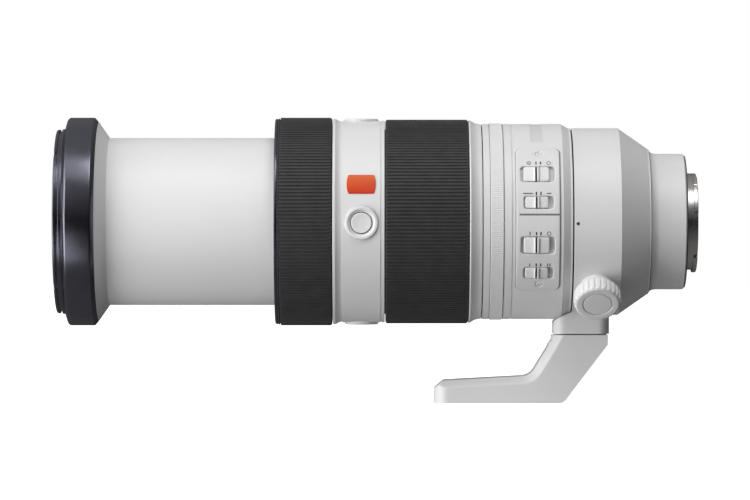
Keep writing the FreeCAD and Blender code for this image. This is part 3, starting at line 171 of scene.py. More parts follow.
def metal(name, colour, roughness, grain=0.1):
    return Finish(name, colour, roughness, 1.0).tinted(0.04, 5).worn(0.05, 2).turned(0.12, grain)


FINISHES = {
    "white_paint": painted("white_paint", 0.78, 0.45, 0.25),
    "white_trim": painted("white_trim", 0.8, 0.36, 0.12),
    "switch_panel_paint": painted("switch_panel_paint", 0.76, 0.5, 0.35),
    "grey_plate": painted("grey_plate", 0.7, 0.4, 0.1),
    "badge_enamel": Finish("badge_enamel", (0.62, 0.075, 0.03), 0.4, sockets={"Specular IOR Level": 0.3}),
    "dark_anodised": Finish("dark_anodised", (0.13, 0.13, 0.16), 0.24, 1.0),
    "inner_aluminium": metal("inner_aluminium", (0.06, 0.06, 0.065), 0.45),
    "grip_rubber": black("grip_rubber", 0.03, 0.62, 0.3, 0.2),
    "black_rubber": black("black_rubber", 0.02, 0.6, 0.3),
    "black_felt": black("black_felt", 0.012, 0.9, 0.8, 0.15, Sheen_Weight=0.3),
    "black_plastic": black("black_plastic", 0.018, 0.5, 0.2),
    "blade_black": black("blade_black", 0.025, 0.4, 0.1),
    "mount_steel": metal("mount_steel", (0.5, 0.49, 0.48), 0.27),
    "small_screws": metal("small_screws", (0.55, 0.55, 0.55), 0.3),
    "rod_steel": metal("rod_steel", (0.6, 0.6, 0.61), 0.22),
    "gold_contacts": metal("gold_contacts", (0.85, 0.6, 0.25), 0.22),
    "circuit_board": Finish("circuit_board", (0.015, 0.1, 0.045), 0.4),
    "coated_glass": Finish("coated_glass", (0.95, 0.97, 1.0), 0.03, sockets={
        "Transmission Weight": 1.0, "IOR": 1.52, "Thin Film Thickness": 420.0, "Thin Film IOR": 1.38}),
}
FINISHES["dark_anodised"].tinted(0.03, 10).worn(0.02, 4).turned(0.25, 0.25)
FINISHES["circuit_board"].tinted(0.4, 2).worn(0.1, 1).grained(0.4, 0.5)
FINISHES["coated_glass"].tinted(0.01, 20).worn(0.01, 5)


def shade_badge(finish, low, high):
    """Enamel that runs from red at the lower edge to orange at the upper one."""
    split = finish.nodes.new("ShaderNodeSeparateXYZ")
    finish.link(finish.place, split.inputs["Vector"])
    rise = finish.nodes.new("ShaderNodeMapRange")
    rise.inputs["From Min"].default_value = low
    rise.inputs["From Max"].default_value = high
    finish.link(split.outputs["Z"], rise.inputs["Value"])
    ramp = finish.nodes.new("ShaderNodeValToRGB")
    ramp.color_ramp.elements[0].color = (0.62, 0.035, 0.012, 1)
    ramp.color_ramp.elements[1].color = (0.72, 0.12, 0.02, 1)
    finish.link(rise.outputs["Result"], ramp.inputs["Fac"])
    finish.link(ramp.outputs["Color"], finish.shader.inputs["Base Color"])
    finish.worn(0.05, 2).grained(0.3, 0.08)


badge_low, badge_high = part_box("badge")
shade_badge(FINISHES["badge_enamel"], badge_low.z, badge_high.z)

# Printing ink for the marks and the index dot, also used as painted shade in the switch knobs' grooves.
print_ink_and_groove_shade = black("label_ink_and_groove_shade", 0.03, 0.6, 0.1)
# Painted shade: a grey strip standing in for the shade in the switch panel's dividing groove.
groove_shade_grey = black("panel_divider_painted_shade", 0.2, 0.6, 0.1)
# Painted shadow: a grey strip for the shadow in the gap round the switch panel.
gap_shadow_paint = black("panel_shadow_line", 0.3, 0.6, 0.1)

SLOT_OF = {part["node"]: part["material_slot"] for part in frame["record"]["subparts"]}
for node_name, cad_object in frame["nodes"].items():
    cad_object.data.materials.clear()
    cad_object.data.materials.append(FINISHES[SLOT_OF[node_name]].made)


# ---- Mesh helpers ---------------------------------------------------------------------------


def add_piece(name, verts, faces, body, finish, replaces=(), crease=32):
    """Make an object from points in mm, give it its finish, and let it ride on a CAD body."""
    mesh = bpy.data.meshes.new(name)
    mesh.from_pydata([Vector(v) * MM for v in verts], [], faces)
    work = bmesh.new()
    work.from_mesh(mesh)
    bmesh.ops.recalc_face_normals(work, faces=work.faces)
    work.to_mesh(mesh)
    work.free()
    mesh.shade_smooth()
    mesh.set_sharp_from_angle(angle=math.radians(crease))
    item = bpy.data.objects.new(name, mesh)
    bpy.context.scene.collection.objects.link(item)
    if isinstance(finish, str):
        finish = FINISHES[finish]
    mesh.materials.append(finish.made)
    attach(item, body)
    if replaces:
        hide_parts(*replaces)
    return item


def soften(corners, steps=4):
    """Round the corners of a closed outline. A corner is (station, radius, round[, relief])."""
    made = []
    count = len(corners)
    for i, corner in enumerate(corners):
        here = Vector((*corner[:2], corner[3] if len(corner) > 3 else 0.0))
        cut = corner[2] if len(corner) > 2 else 0.0
        before, after = corners[i - 1], corners[(i + 1) % count]
        before = Vector((*before[:2], before[3] if len(before) > 3 else 0.0))
        after = Vector((*after[:2], after[3] if len(after) > 3 else 0.0))
        if not cut:
            made.append(here)
            continue
        start = here + (before - here) * min(0.45, cut / (before - here).xy.length)
        end = here + (after - here) * min(0.45, cut / (after - here).xy.length)
        for step in range(steps + 1):
            s = step / steps
            made.append(start * (1 - s) ** 2 + here * 2 * s * (1 - s) + end * s ** 2)
    return made


def turn(name, corners, body, finish, replaces=(), columns=192, place=None, relief=None, crease=32, steps=4):
    """A turned piece. relief is (count, [(phase, drop), ...]): the cut between ribs, repeated all round,
    and reaching as deep as each corner's fourth number says."""
    outline = soften(corners, steps)
    if relief:
        count, shape = relief
        around = [((i + phase) / count, drop) for i in range(count) for phase, drop in shape]
    else:
        around = [(i / columns, 0.0) for i in range(columns)]
    verts, rows = [], []
    for point in outline:
        row = []
        if point.y < 1e-6:
            row = [len(verts)] * len(around)
            verts.append(Vector((point.x, 0, 0)))
        else:
            for share, drop in around:
                radius = point.y - drop * point.z
                turn_by = 2 * math.pi * share
                row.append(len(verts))
                verts.append(Vector((point.x, -radius * math.cos(turn_by), radius * math.sin(turn_by))))
        rows.append(row)
    faces = []
    for i, row in enumerate(rows):
        after = rows[(i + 1) % len(rows)]
        if outline[i].y < 1e-6 and outline[(i + 1) % len(rows)].y < 1e-6:
            continue
        for j in range(len(around)):
            k = (j + 1) % len(around)
            corner_loop = []
            for index in (row[j], row[k], after[k], after[j]):
                if index not in corner_loop:
                    corner_loop.append(index)
            if len(corner_loop) > 2:
                faces.append(corner_loop)
    if place:
        verts = [place @ v for v in verts]
    return add_piece(name, verts, faces, body, finish, replaces, crease)


def radial_place(station, angle):
    """Turns a piece so that its own axis points outwards from the lens axis."""
    turn_to = Vector((1, 0, 0)).rotation_difference(outwards(angle)).to_matrix().to_4x4()
    return Matrix.Translation((station, 0, 0)) @ turn_to


def rounded_box(left, right, low, high, corner, steps=6):
    """A rectangle with round corners, as a flat outline that runs anticlockwise."""
    points = []
    for across, up, start in ((right, high, 0), (left, high, 90), (left, low, 180), (right, low, 270)):
        centre_x = across - math.copysign(corner, across - (left + right) / 2)
        centre_y = up - math.copysign(corner, up - (low + high) / 2)
        for i in range(steps + 1):
            a = math.radians(start + 90 * i / steps)
            points.append((centre_x + corner * math.cos(a), centre_y + corner * math.sin(a)))
    return points


def shrink(outline, distance):
    """Move a flat outline inwards (an anticlockwise one) by a distance."""
    made = []
    count = len(outline)
    for i in range(count):
        before, here, after = Vector(outline[i - 1]), Vector(outline[i]), Vector(outline[(i + 1) % count])
        first, second = (here - before).normalized(), (after - here).normalized()
        aside = Vector((-first.y - second.y, first.x + second.x)).normalized()
        reach = distance / max(0.5, aside.dot(Vector((-first.y, first.x))))
        made.append((here.x + aside.x * reach, here.y + aside.y * reach))
    return made


def wrapped(name, outline, holes, rise, bend, body, finish, replaces=(), every=1.5, crease=32):
    """A plate wrapped round the barrel. outline and holes are flat (station, distance around) loops.
    rise and each hole's own steps are lists of (inset, height), from the bottom up; bend is (angle, radius):
    the angle that the flat plate's zero lies at, and the radius at height zero."""
    work = bmesh.new()

    def add_wall(loop, steps, inwards):
        rings = []
        for inset, height in steps:
            moved = shrink(loop, inset * inwards)
            rings.append([work.verts.new((x, y, height)) for x, y in moved])
        for lower, upper in zip(rings, rings[1:]):
            for i in range(len(lower)):
                j = (i + 1) % len(lower)
                work.faces.new((lower[i], lower[j], upper[j], upper[i]))
        return rings[0], rings[-1]

    walls = [add_wall(outline, rise, 1)]
    for hole, steps in holes:
        walls.append(add_wall(hole, steps, -1))
    for level in (0, 1):
        edges = []
        for wall in walls:
            ring = wall[level]
            for i, vert in enumerate(ring):
                other = ring[(i + 1) % len(ring)]
                edges.append(work.edges.get((vert, other)) or work.edges.new((vert, other)))
        bmesh.ops.triangle_fill(work, edges=edges, use_beauty=True)
    low = min(y for x, y in outline)
    high = max(y for x, y in outline)
    cuts = int((high - low) / every)
    for i in range(1, cuts):
        level = low + (high - low) * i / cuts
        bmesh.ops.bisect_plane(work, geom=work.verts[:] + work.edges[:] + work.faces[:],
                               plane_co=(0, level, 0), plane_no=(0, 1, 0), dist=1e-5)
    bmesh.ops.remove_doubles(work, verts=work.verts, dist=1e-4)
    angle, radius = bend
    verts = []
    for i, vert in enumerate(work.verts):
        vert.index = i
        along, around, height = vert.co
        at = angle + math.degrees(around / radius)
        verts.append(outwards(at) * (radius + height) + Vector((along, 0, 0)))
    faces = [[v.index for v in face.verts] for face in work.faces]
    work.free()
    return add_piece(name, verts, faces, body, finish, replaces, crease)


def bevelled(height, size, steps=3):
    """The wall of a plate with a rounded upper edge, as (inset, height) steps."""
    made = [(0.0, 0.0)]
    for i in range(steps + 1):
        a = math.radians(90 * i / steps)
        made.append((size * (1 - math.cos(a)), height - size * (1 - math.sin(a))))
    return made


# ---- The front group -------------------------------------------------------------------------


ring_front, ring_rear = station_range("filter_ring")
bumper_front, bumper_rear = station_range("front_bumper_ring")
bumper_radius = outer_radius("front_bumper_ring")

turn("bumper_ring_look", [
    (bumper_front, 41.1, 0.1),
    (bumper_front, 41.95, 0.15),
    (bumper_front + 1.25, 46.2, 0.35),
    (bumper_front + 2.1, bumper_radius, 0.5),
    (bumper_rear - 1.75, bumper_radius, 0.45),
    (bumper_rear - 0.05, 44.85, 0.3),
    (bumper_rear, 41.1, 0.1),
], "zoom_barrel", "dark_anodised", ["front_bumper_ring"], columns=288)

NOTCHES = (46.6, -45.7, 166.0, -154.0)


def notch_relief(angles, width, slope=0.5):
    """The angles of a ring's columns, with the part inside each notch cut down."""
    columns = 288
    shape = [(i / columns, 0.0) for i in range(columns)]
    for angle in angles:
        for offset, drop in ((-width - slope, 0.0), (-width, 1.0), (width, 1.0), (width + slope, 0.0)):
            shape.append((((angle + offset) % 360) / 360, drop))

    def is_clear(share):
        away = min(abs((share * 360 - angle + 180) % 360 - 180) for angle in angles)
        return away >= width + slope - 1e-6

    return (1, sorted((share, drop) for share, drop in shape if drop or is_clear(share)))


thread = []
crests = 5
for i in range(crests):
    start = ring_front + 0.5 + i * 0.56
    thread += [(start, 38.15, 0), (start + 0.28, 38.45, 0)]
turn("filter_ring_look", [
    (ring_front + 0.25, 38.35, 0.1),
    (ring_front, 39.2, 0.15),
    (ring_front, 41.2, 0.15, 1.2),
    (ring_front + 0.35, 41.5, 0.2, 1.2),
    (ring_front + 1.3, 41.5, 0.1, 1.2),
    (ring_front + 1.4, 40.4, 0.1),
    (ring_front + 2.5, 40.4, 0.1),
    (ring_front + 2.6, 41.8, 0.12),
    (bumper_front - 0.05, 41.8, 0.05),
    (bumper_front - 0.05, 41.0, 0),
    (ring_rear, 41.0, 0),
    (ring_rear, 39.5, 0),
    (ring_front + 3.4, 39.5, 0),
    (ring_front + 3.4, 38.15, 0),
] + thread[::-1], "zoom_barrel", "dark_anodised", ["filter_ring"], relief=notch_relief(NOTCHES, 2.2))


# ---- Grips ----------------------------------------------------------------------------------------


RIB = [(0.0, 0.0), (0.1, 0.02), (0.19, 0.12), (0.25, 0.45), (0.3, 0.88), (0.36, 1.0), (0.5, 1.0),
       (0.64, 1.0), (0.7, 0.88), (0.75, 0.45), (0.81, 0.12), (0.9, 0.02)]
FINE_RIB = [(0.0, 0.0), (0.2, 0.15), (0.35, 0.8), (0.5, 1.0), (0.65, 0.8), (0.8, 0.15)]

grip_front, grip_rear = station_range("focus_grip")
grip_radius = outer_radius("focus_grip")
turn("focus_grip_look", [
    (grip_front, 45.1, 0.1),
    (grip_front, 45.9, 0.25),
    (grip_front + 0.3, 46.45, 0.2, 0.3),
    (grip_front + 0.85, 46.6, 0.1, 0.4),
    (grip_front + 1.0, 46.1, 0.08, 0.0),
    (grip_front + 1.25, 46.1, 0.08, 0.0),
    (grip_front + 1.4, grip_radius, 0.15, 0.5),
    (grip_rear - 0.75, grip_radius, 0.2, 0.5),
    (grip_rear - 0.55, grip_radius - 0.15, 0.2, 0.25),
    (grip_rear - 0.25, grip_radius - 0.35, 0.3, 0.0),
    (grip_rear, 45.9, 0.2),
    (grip_rear, 45.1, 0.1),
], "focus_ring", "grip_rubber", ["focus_grip"], relief=(178, RIB))

grip_front, grip_rear = station_range("zoom_grip")
grip_radius = outer_radius("zoom_grip")
turn("zoom_grip_look", [
    (grip_front, 44.3, 0.1),
    (grip_front, 45.2, 0.3),
    (grip_front + 0.35, grip_radius - 0.3, 0.25, 0.0),
    (grip_front + 0.7, grip_radius - 0.05, 0.2, 0.35),
    (grip_front + 1.0, grip_radius, 0.2, 0.5),
    (grip_rear - 1.1, grip_radius, 0.2, 0.5),
    (grip_rear - 0.8, grip_radius - 0.05, 0.2, 0.35),
    (grip_rear - 0.4, grip_radius - 0.35, 0.3, 0.0),
    (grip_rear, 45.1, 0.3),
    (grip_rear, 44.3, 0.1),
], "zoom_ring", "grip_rubber", ["zoom_grip"], relief=(174, RIB))

knurl_front, knurl_rear = station_range("torque_ring")
knurl_radius = outer_radius("torque_ring")
turn("torque_ring_look", [
    (knurl_front, 43.2, 0.05),
    (knurl_front, knurl_radius - 0.25, 0.15),
    (knurl_front + 0.25, knurl_radius, 0.15, 0.0),
    (knurl_front + 0.5, knurl_radius, 0.1, 0.12),
    (knurl_rear - 0.5, knurl_radius, 0.1, 0.12),
    (knurl_rear - 0.25, knurl_radius, 0.15, 0.0),
    (knurl_rear, knurl_radius - 0.25, 0.15),
    (knurl_rear, 43.2, 0.05),
], "torque_ring", "white_paint", ["torque_ring"], relief=(288, FINE_RIB))


# ---- Badge and hold buttons ------------------------------------------------------------------------


badge_front, badge_rear = station_range("badge")
badge_angle = 20.9
badge_height = 9.0
band_radius = 45.65
badge_outline = []
half_length = (badge_rear - badge_front) / 2
badge_middle = (badge_front + badge_rear) / 2
for side, start in ((1, -1), (-1, 1)):
    for i in range(13):
        up = start * (1 - 2 * i / 12)
        badge_outline.append((badge_middle + side * half_length * (1 - 0.13 * abs(up) ** 2.2),
                              up * badge_height / 2))


def round_loop(points, cut, steps=4):
    """Round the sharp corners of a flat outline."""
    count = len(points)
    corners = []
    for i, point in enumerate(points):
        before, here, after = Vector(points[i - 1]), Vector(point), Vector(points[(i + 1) % count])
        bend = (here - before).angle(after - here)
        corners.append((*point, cut if bend > 0.6 else 0.0))
    return [(v.x, v.y) for v in soften(corners, steps)]


badge_outline = round_loop(badge_outline, 0.6)
wrapped("badge_look", badge_outline, [], bevelled(0.3, 0.18), (badge_angle, band_radius), "fixed_barrel",
        "badge_enamel", ["badge"])

button_station = sum(station_range("hold_button_side")) / 2
for side, angle in (("side", -1.1), ("top", 88.9), ("bottom", -91.1)):
    place = radial_place(button_station, angle)
    turn("bezel_" + side, [
        (43.6, 4.9, 0),
        (45.35, 4.9, 0.08),
        (45.45, 5.0, 0.1),
        (46.35, 5.95, 0.2),
        (46.5, 6.3, 0.2),
        (46.42, 7.15, 0.2),
        (46.15, 7.5, 0.2),
        (43.6, 7.5, 0),
    ], "fixed_barrel", "white_trim", ["button_bezels"] if side == "side" else (), 96, place)
    turn("button_" + side, [
        (43.0, 0.0, 0),
        (43.0, 4.55, 0.1),
        (45.9, 4.6, 0.2),
        (46.2, 4.3, 0.25),
        (46.1, 3.4, 0.3),
        (46.0, 2.0, 0.5),
        (45.98, 0.0, 0),
    ], "hold_button_" + side, "white_trim", ["hold_button_" + side], 96, place)


# ---- Zoom ring tail ----------------------------------------------------------------------------------


tail_rear = station_range("zoom_ring_sleeve")[1]
sleeve_front = station_range("zoom_ring_sleeve")[0]
tail = [(grip_rear + 0.9 + (tail_rear - grip_rear - 0.9) * s, 44.05 + (45.75 - 44.05) * (1 - s) ** 2.4, 0)
        for s in [i / 10 for i in range(11)]]
turn("zoom_sleeve_look", [
    (sleeve_front, 43.05, 0),
    (sleeve_front, 44.2, 0),
    (grip_rear + 0.05, 44.2, 0),
    (grip_rear + 0.05, 45.6, 0.15),
    (grip_rear + 0.25, 45.9, 0.15),
    (grip_rear + 0.7, 45.88, 0.15),
] + tail[:-1] + [
    (tail_rear - 0.15, 44.05, 0.1),
    (tail_rear, 43.9, 0.1),
    (tail_rear, 43.05, 0),
], "zoom_ring", "white_paint", ["zoom_ring_sleeve"], columns=288)


# ---- Switch panel -----------------------------------------------------------------------------------


PANEL_ANGLE = 1.65
BARREL_RADIUS = 44.1
PANEL_HEIGHT = 0.52
PANEL_HALF = 34.9
panel_front, panel_rear = station_range("switch_panel")
SWITCHES = {
    "focus_mode_switch": (28.0, -75.2, -60.1, 3.9),
    "focus_range_switch": (10.7, -73.9, -60.6, 2.9),
    "stabiliser_switch": (-14.1, -75.2, -60.1, 3.9),
    "stabiliser_mode_switch": (-31.25, -73.9, -60.6, 2.9),
}


def around(angle):
    """Distance round the barrel from the panel's own middle."""
    return math.radians(angle - PANEL_ANGLE) * BARREL_RADIUS


slot_steps = [(0.0, -0.9), (0.0, PANEL_HEIGHT - 0.32), (0.1, PANEL_HEIGHT - 0.14), (0.3, PANEL_HEIGHT - 0.03),
              (0.5, PANEL_HEIGHT)]
screw_steps = [(0.0, -0.9), (0.0, PANEL_HEIGHT - 0.2), (0.1, PANEL_HEIGHT - 0.05), (0.25, PANEL_HEIGHT)]
panel_steps = bevelled(PANEL_HEIGHT, 0.22)
panel_steps[0] = (0.0, -0.9)
panel_holes = []
for angle, front, rear, half in SWITCHES.values():
    centre = around(angle)
    hole = rounded_box(front, rear, centre - half, centre + half, 1.3)
    panel_holes.append((hole, slot_steps))
SCREW_STATION = -67.0
SCREW_ANGLES = (42.0, -39.0)
for angle in SCREW_ANGLES:
    centre = around(angle)
    hole = rounded_box(SCREW_STATION - 1.5, SCREW_STATION + 1.5, centre - 1.5, centre + 1.5, 1.499)
    panel_holes.append((hole, screw_steps))
wrapped("switch_panel_look", rounded_box(panel_front, panel_rear, -PANEL_HALF, PANEL_HALF, 3.0), panel_holes,
        panel_steps, (PANEL_ANGLE, BARREL_RADIUS), "fixed_barrel", "switch_panel_paint", ["switch_panel"],
        every=1.2)

# A thin grey frame round the switch panel: a painted shadow of the gap between panel and barrel, wider at the
# rear edge where the panel's edge is in shade.
gap_shadow_outline = rounded_box(panel_front - 0.4, panel_rear + 0.6, -PANEL_HALF - 0.35, PANEL_HALF + 0.35, 3.3)
gap_shadow_hole = rounded_box(panel_front + 0.1, panel_rear - 0.1, -PANEL_HALF + 0.1, PANEL_HALF - 0.1, 2.9)
wrapped("panel_gap_painted_shadow", gap_shadow_outline, [(gap_shadow_hole, [(0.0, -0.05), (0.0, 0.05), (0.02, 0.06)])],
        [(0.0, -0.05), (0.0, 0.04), (0.03, 0.06)], (PANEL_ANGLE, BARREL_RADIUS), "fixed_barrel", gap_shadow_paint,
        every=1.2)

# A grey strip on the panel: painted shade for its dividing groove.
line_at = around(3.65)
divider_shade_outline = rounded_box(panel_front + 1.4, panel_rear - 0.1, line_at - 0.42, line_at + 0.42, 0.1, 2)
wrapped("panel_divider_shade_strip", divider_shade_outline, [],
        [(0.0, PANEL_HEIGHT - 0.1), (0.0, PANEL_HEIGHT + 0.01), (0.05, PANEL_HEIGHT + 0.03)],
        (PANEL_ANGLE, BARREL_RADIUS), "fixed_barrel", groove_shade_grey)

for number, angle in enumerate(SCREW_ANGLES, 1):
    turn(f"panel_screw_{number}", [
        (43.3, 0.0, 0),
        (43.3, 1.4, 0),
        (44.35, 1.4, 0.05),
        (44.5, 1.15, 0.1),
        (44.56, 0.6, 0.1),
        (44.5, 0.42, 0.05),
        (44.1, 0.38, 0.05),
        (44.1, 0.0, 0),
    ], "fixed_barrel", "white_trim", ["panel_screws"] if number == 1 else (), 48,
        radial_place(SCREW_STATION, angle))


def switch_knob(name, angle, front, length, half):
    """A slide switch: two flat halves, and between them a crest, a dark groove and a second crest."""
    rear = front + length
    middle = (front + rear) / 2
    profile = [
        (front, 43.4), (front, 44.3), (front + 0.08, 44.55), (front + 0.25, 44.7), (front + 0.6, 44.75),
        (middle - 1.5, 44.78), (middle - 1.15, 44.9), (middle - 0.9, 45.2), (middle - 0.72, 45.32),
        (middle - 0.6, 45.3), (middle - 0.5, 45.05), (middle - 0.48, 43.7), (middle + 0.22, 43.7),
        (middle + 0.24, 45.1), (middle + 0.34, 45.3), (middle + 0.55, 45.35), (middle + 0.95, 45.3),
        (middle + 1.1, 45.2), (middle + 1.18, 44.75), (middle + 1.22, 44.4), (middle + 1.42, 44.4),
        (middle + 1.5, 44.74), (rear - 0.6, 44.75), (rear - 0.25, 44.7), (rear - 0.08, 44.55),
        (rear, 44.3), (rear, 43.4),
    ]
    rows = 17
    verts, faces = [], []
    for j in range(rows):
        share = -1 + 2 * j / (rows - 1)
        share = math.copysign(1 - (1 - abs(share)) ** 1.6, share)
        across = share * half
        to_edge = half - abs(across)
        corner = 0.0
        if to_edge < 0.9:
            corner = 0.9 - math.sqrt(max(0.0, 0.81 - (0.9 - to_edge) ** 2))
        edge_drop = 0.22 * max(0.0, 1 - to_edge / 0.3) ** 2
        sag = 44.62 - math.sqrt(44.62 ** 2 - across ** 2)
        for x, height in profile:
            if x < middle - 1.6:
                x = x + corner * (middle - 1.5 - x) / (middle - 1.5 - front)
            elif x > middle + 1.6:
                x = x - corner * (x - middle - 1.5) / (rear - middle - 1.5)
            lift = height - (edge_drop + sag if height > 43.5 else 0)
            verts.append(Vector((x, 0, 0)) + outwards(angle) * lift + upwards(angle) * across)
    count = len(profile)
    for j in range(rows - 1):
        for i in range(count):
            k = (i + 1) % count
            faces.append((j * count + i, j * count + k, (j + 1) * count + k, (j + 1) * count + i))
    faces.append(tuple(range(count)))
    faces.append(tuple(range((rows - 1) * count, rows * count)))
    return add_piece(name + "_look", verts, faces, name, "white_trim", [name], 40)


GROOVE_RADIUS = 44.3
KNOBS = {"focus_mode_switch": (-73.9, 11.5, 3.6), "focus_range_switch": (-73.2, 10.3, 2.6),
         "stabiliser_switch": (-73.9, 11.5, 3.6), "stabiliser_mode_switch": (-73.2, 10.3, 2.6)}
for name, (front, length, half) in KNOBS.items():
    switch_angle = SWITCHES[name][0]
    switch_knob(name, switch_angle, front, length, half)
    # A dark strip laid in each knob's groove: painted shade that darkens the groove.
    groove = front + length / 2 - 0.13
    wrapped(name + "_groove_painted_shade", rounded_box(groove - 0.3, groove + 0.3, 0.3 - half, half - 0.3, 0.1, 2), [],
            [(0.0, -0.1), (0.0, 0.1), (0.02, 0.12)], (switch_angle, GROOVE_RADIUS), name, print_ink_and_groove_shade, every=1.0)


def mark(name, outline, angle, body, radius, height=0.035):
    """A printed mark: a very thin plate that lies on the barrel."""
    return wrapped(name, outline, [], [(0.0, -0.05), (0.0, height - 0.01), (0.02, height)], (angle, radius),
                   body, print_ink_and_groove_shade, every=3.0)


PRINT_RADIUS = BARREL_RADIUS + PANEL_HEIGHT
TICK_STATIONS = (-68.3, -66.3)
TICK_ANGLES = (35.3, 15.9, -7.2, -25.9)
for number, angle in enumerate(TICK_ANGLES, 1):
    for letter, station in zip("ab", TICK_STATIONS):
        mark(f"tick_{number}{letter}", rounded_box(station - 0.3, station + 0.3, -0.75, 0.75, 0.12, 2), angle,
             "fixed_barrel", PRINT_RADIUS)

LEFT_SYMBOL = -72.1
RIGHT_SYMBOL = -62.7


def bar(name, station, angle, length, height):
    """A printed bar, centred on a station: length runs along the lens, height around it."""
    outline = rounded_box(station - length / 2, station + length / 2, -height / 2, height / 2, 0.12, 2)
    mark(name, outline, angle, "fixed_barrel", PRINT_RADIUS)


def circle(name, station, angle, radius, line):
    """A printed circle."""
    outer = rounded_box(station - radius, station + radius, -radius, radius, radius * 0.999, 8)
    inner = rounded_box(station - radius + line, station + radius - line, -radius + line, radius - line,
                        (radius - line) * 0.999, 8)
    steps = [(0.0, -0.05), (0.0, 0.025), (0.02, 0.035)]
    wrapped(name, outer, [(inner, steps)], steps, (angle, PRINT_RADIUS), "fixed_barrel", print_ink_and_groove_shade, every=3.0)


circle("symbol_focus_self", LEFT_SYMBOL + 0.6, TICK_ANGLES[0], 0.95, 0.28)
bar("symbol_focus_self_dot", LEFT_SYMBOL + 0.6, TICK_ANGLES[0], 0.5, 0.5)
circle("symbol_focus_hand", RIGHT_SYMBOL, TICK_ANGLES[0], 0.95, 0.28)
bar("symbol_range_long", LEFT_SYMBOL, TICK_ANGLES[1], 4.4, 0.42)
bar("symbol_range_short", RIGHT_SYMBOL, TICK_ANGLES[1], 2.0, 0.42)
bar("symbol_on", LEFT_SYMBOL + 0.9, TICK_ANGLES[2], 0.42, 1.7)
circle("symbol_off", RIGHT_SYMBOL, TICK_ANGLES[2], 0.95, 0.28)
bar("symbol_mode_one", LEFT_SYMBOL + 0.9, TICK_ANGLES[3], 0.42, 1.5)
bar("symbol_mode_two_a", RIGHT_SYMBOL - 0.5, TICK_ANGLES[3], 0.42, 1.5)
bar("symbol_mode_two_b", RIGHT_SYMBOL + 0.5, TICK_ANGLES[3], 0.42, 1.5)

collar_radius = 42.2
turn("collar_index_dot", [
    (collar_radius - 0.3, 0.0, 0),
    (collar_radius - 0.3, 0.75, 0),
    (collar_radius + 0.02, 0.75, 0.02),
    (collar_radius + 0.02, 0.0, 0),
], "tripod_collar", print_ink_and_groove_shade, (), 32, radial_place(-49.7, -1.65))


# ---- Lock knob ------------------------------------------------------------------------------------------


FLUTE = [(0.0, 0.0), (0.3, 0.03), (0.4, 0.35), (0.46, 0.85), (0.5, 1.0), (0.54, 0.85), (0.6, 0.35),
         (0.7, 0.03)]
knob_place = radial_place(-40.9, -45)
turn("lock_knob_look", [
    (45.2, 2.6, 0),
    (45.2, 9.3, 0.4),
    (46.0, 10.3, 0.4, 0.3),
    (46.6, 10.55, 0.3, 0.8),
    (50.9, 10.55, 0.5, 0.8),
    (51.9, 10.2, 0.4, 0.35),
    (52.6, 9.2, 0.35, 0.0),
    (52.6, 6.85, 0.15),
    (52.4, 6.62, 0.1),
    (51.75, 6.62, 0),
    (51.75, 2.6, 0),
], "lock_knob", "white_trim", ["lock_knob"], place=knob_place, relief=(24, FLUTE), crease=40)
turn("lock_knob_cap_look", [
    (51.8, 0.0, 0),
    (51.8, 6.35, 0),
    (52.35, 6.35, 0.12),
    (52.5, 6.15, 0.15),
    (52.52, 3.0, 0.5),
    (52.52, 0.0, 0),
], "lock_knob", "white_trim", ["lock_knob_cap"], 96, knob_place)


# ---- Stage, light and camera ----------------------------------------------------------------------------


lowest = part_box("tripod_foot")[0].z
floor_mesh = bpy.data.meshes.new("floor")
reach = 6.0
floor_mesh.from_pydata([(-reach, -reach, lowest), (reach, -reach, lowest), (reach, reach, lowest),
                        (-reach, reach, lowest)], [], [(0, 1, 2, 3)])
floor = bpy.data.objects.new("floor", floor_mesh)
bpy.context.scene.collection.objects.link(floor)
pale = painted("pale_floor", 0.9, 0.9, 0.05)
pale.shader.inputs["Emission Color"].default_value = (1, 1, 1, 1)
pale.shader.inputs["Emission Strength"].default_value = 1.0
pale.shader.inputs["Specular IOR Level"].default_value = 0.0
floor_mesh.materials.append(pale.made)
floor.visible_diffuse = False
floor.visible_glossy = False
floor.visible_transmission = False
floor.visible_shadow = False

LOBES = ((0.0, 0.0, 0.445), (0.0, 0.0, -0.2), (-0.176, 0.0, 0.0))


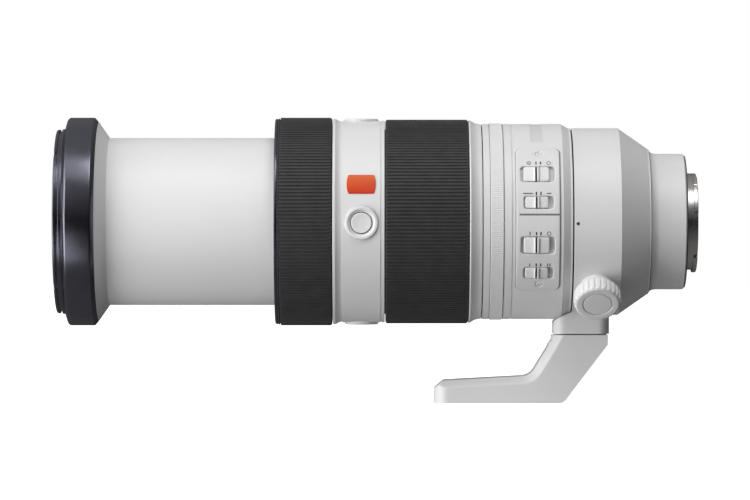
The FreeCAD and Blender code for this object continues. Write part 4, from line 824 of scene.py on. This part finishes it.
def light_world():
    """Soft light from above, some from below and some from the lens's front end. The backdrop is white."""
    world = bpy.data.worlds.new("studio")
    bpy.context.scene.world = world
    world.use_nodes = True
    nodes, links = world.node_tree.nodes, world.node_tree.links
    place = nodes.new("ShaderNodeTexCoord")
    total = None
    for lobe in LOBES:
        lean = nodes.new("ShaderNodeVectorMath")
        lean.operation = "DOT_PRODUCT"
        lean.inputs[1].default_value = lobe
        links.new(place.outputs["Generated"], lean.inputs[0])
        part = nodes.new("ShaderNodeMath")
        part.operation = "MAXIMUM"
        part.inputs[1].default_value = 0.0
        links.new(lean.outputs["Value"], part.inputs[0])
        if total:
            added = nodes.new("ShaderNodeMath")
            added.operation = "ADD"
            links.new(total.outputs["Value"], added.inputs[0])
            links.new(part.outputs["Value"], added.inputs[1])
            part = added
        total = part
    path = nodes.new("ShaderNodeLightPath")
    seen = nodes.new("ShaderNodeMix")
    seen.inputs["B"].default_value = 1.0
    links.new(path.outputs["Is Camera Ray"], seen.inputs["Factor"])
    links.new(total.outputs["Value"], seen.inputs["A"])
    background = nodes["Background"]
    links.new(seen.outputs["Result"], background.inputs["Strength"])
    background.inputs["Color"].default_value = (1, 1, 1, 1)


light_world()


def softbox(name, azimuth, elevation, distance, width, height, radiance):
    """A rectangular light that looks at the middle of the lens. Azimuth 0 is the camera's side, and -90 the
    lens's front end. Radiance is the brightness of its face."""
    a, e = math.radians(azimuth), math.radians(elevation)
    middle = Vector((-0.1398, 0, 0))
    towards = Vector((math.sin(a) * math.cos(e), -math.cos(a) * math.cos(e), math.sin(e)))
    data = bpy.data.lights.new(name, "AREA")
    data.shape = "RECTANGLE"
    data.size, data.size_y = width, height
    data.energy = radiance * width * height * math.pi
    lamp = bpy.data.objects.new(name, data)
    lamp.location = middle + towards * distance
    lamp.rotation_mode = "QUATERNION"
    lamp.rotation_quaternion = (-towards).to_track_quat("-Z", "Y")
    bpy.context.scene.collection.objects.link(lamp)
    return lamp


softbox("top", -25, 60, 1.6, 1.8, 0.7, 0.85)
softbox("key", -50, 25, 1.8, 1.0, 1.0, 3.2)
softbox("back_top", 30, 60, 1.8, 1.0, 0.8, 3.6)
softbox("low_front", -60, -12, 0.8, 0.5, 0.5, 4.2)
softbox("low_side", -35, -28, 0.9, 0.6, 0.5, 1.25)
softbox("front", -80, 20, 0.7, 0.5, 0.5, 1.6)

camera_data = bpy.data.cameras.new("camera")
camera_data.lens = 225.6
camera_data.sensor_width = 36
camera_data.clip_start = 0.05
camera_data.clip_end = 50
camera = bpy.data.objects.new("camera", camera_data)
camera.location = (-0.13985, -2.126, -0.01286)
camera.rotation_euler = (math.radians(90), 0, 0)
bpy.context.scene.collection.objects.link(camera)
bpy.context.scene.camera = camera
bpy.context.scene.view_settings.view_transform = "Standard"
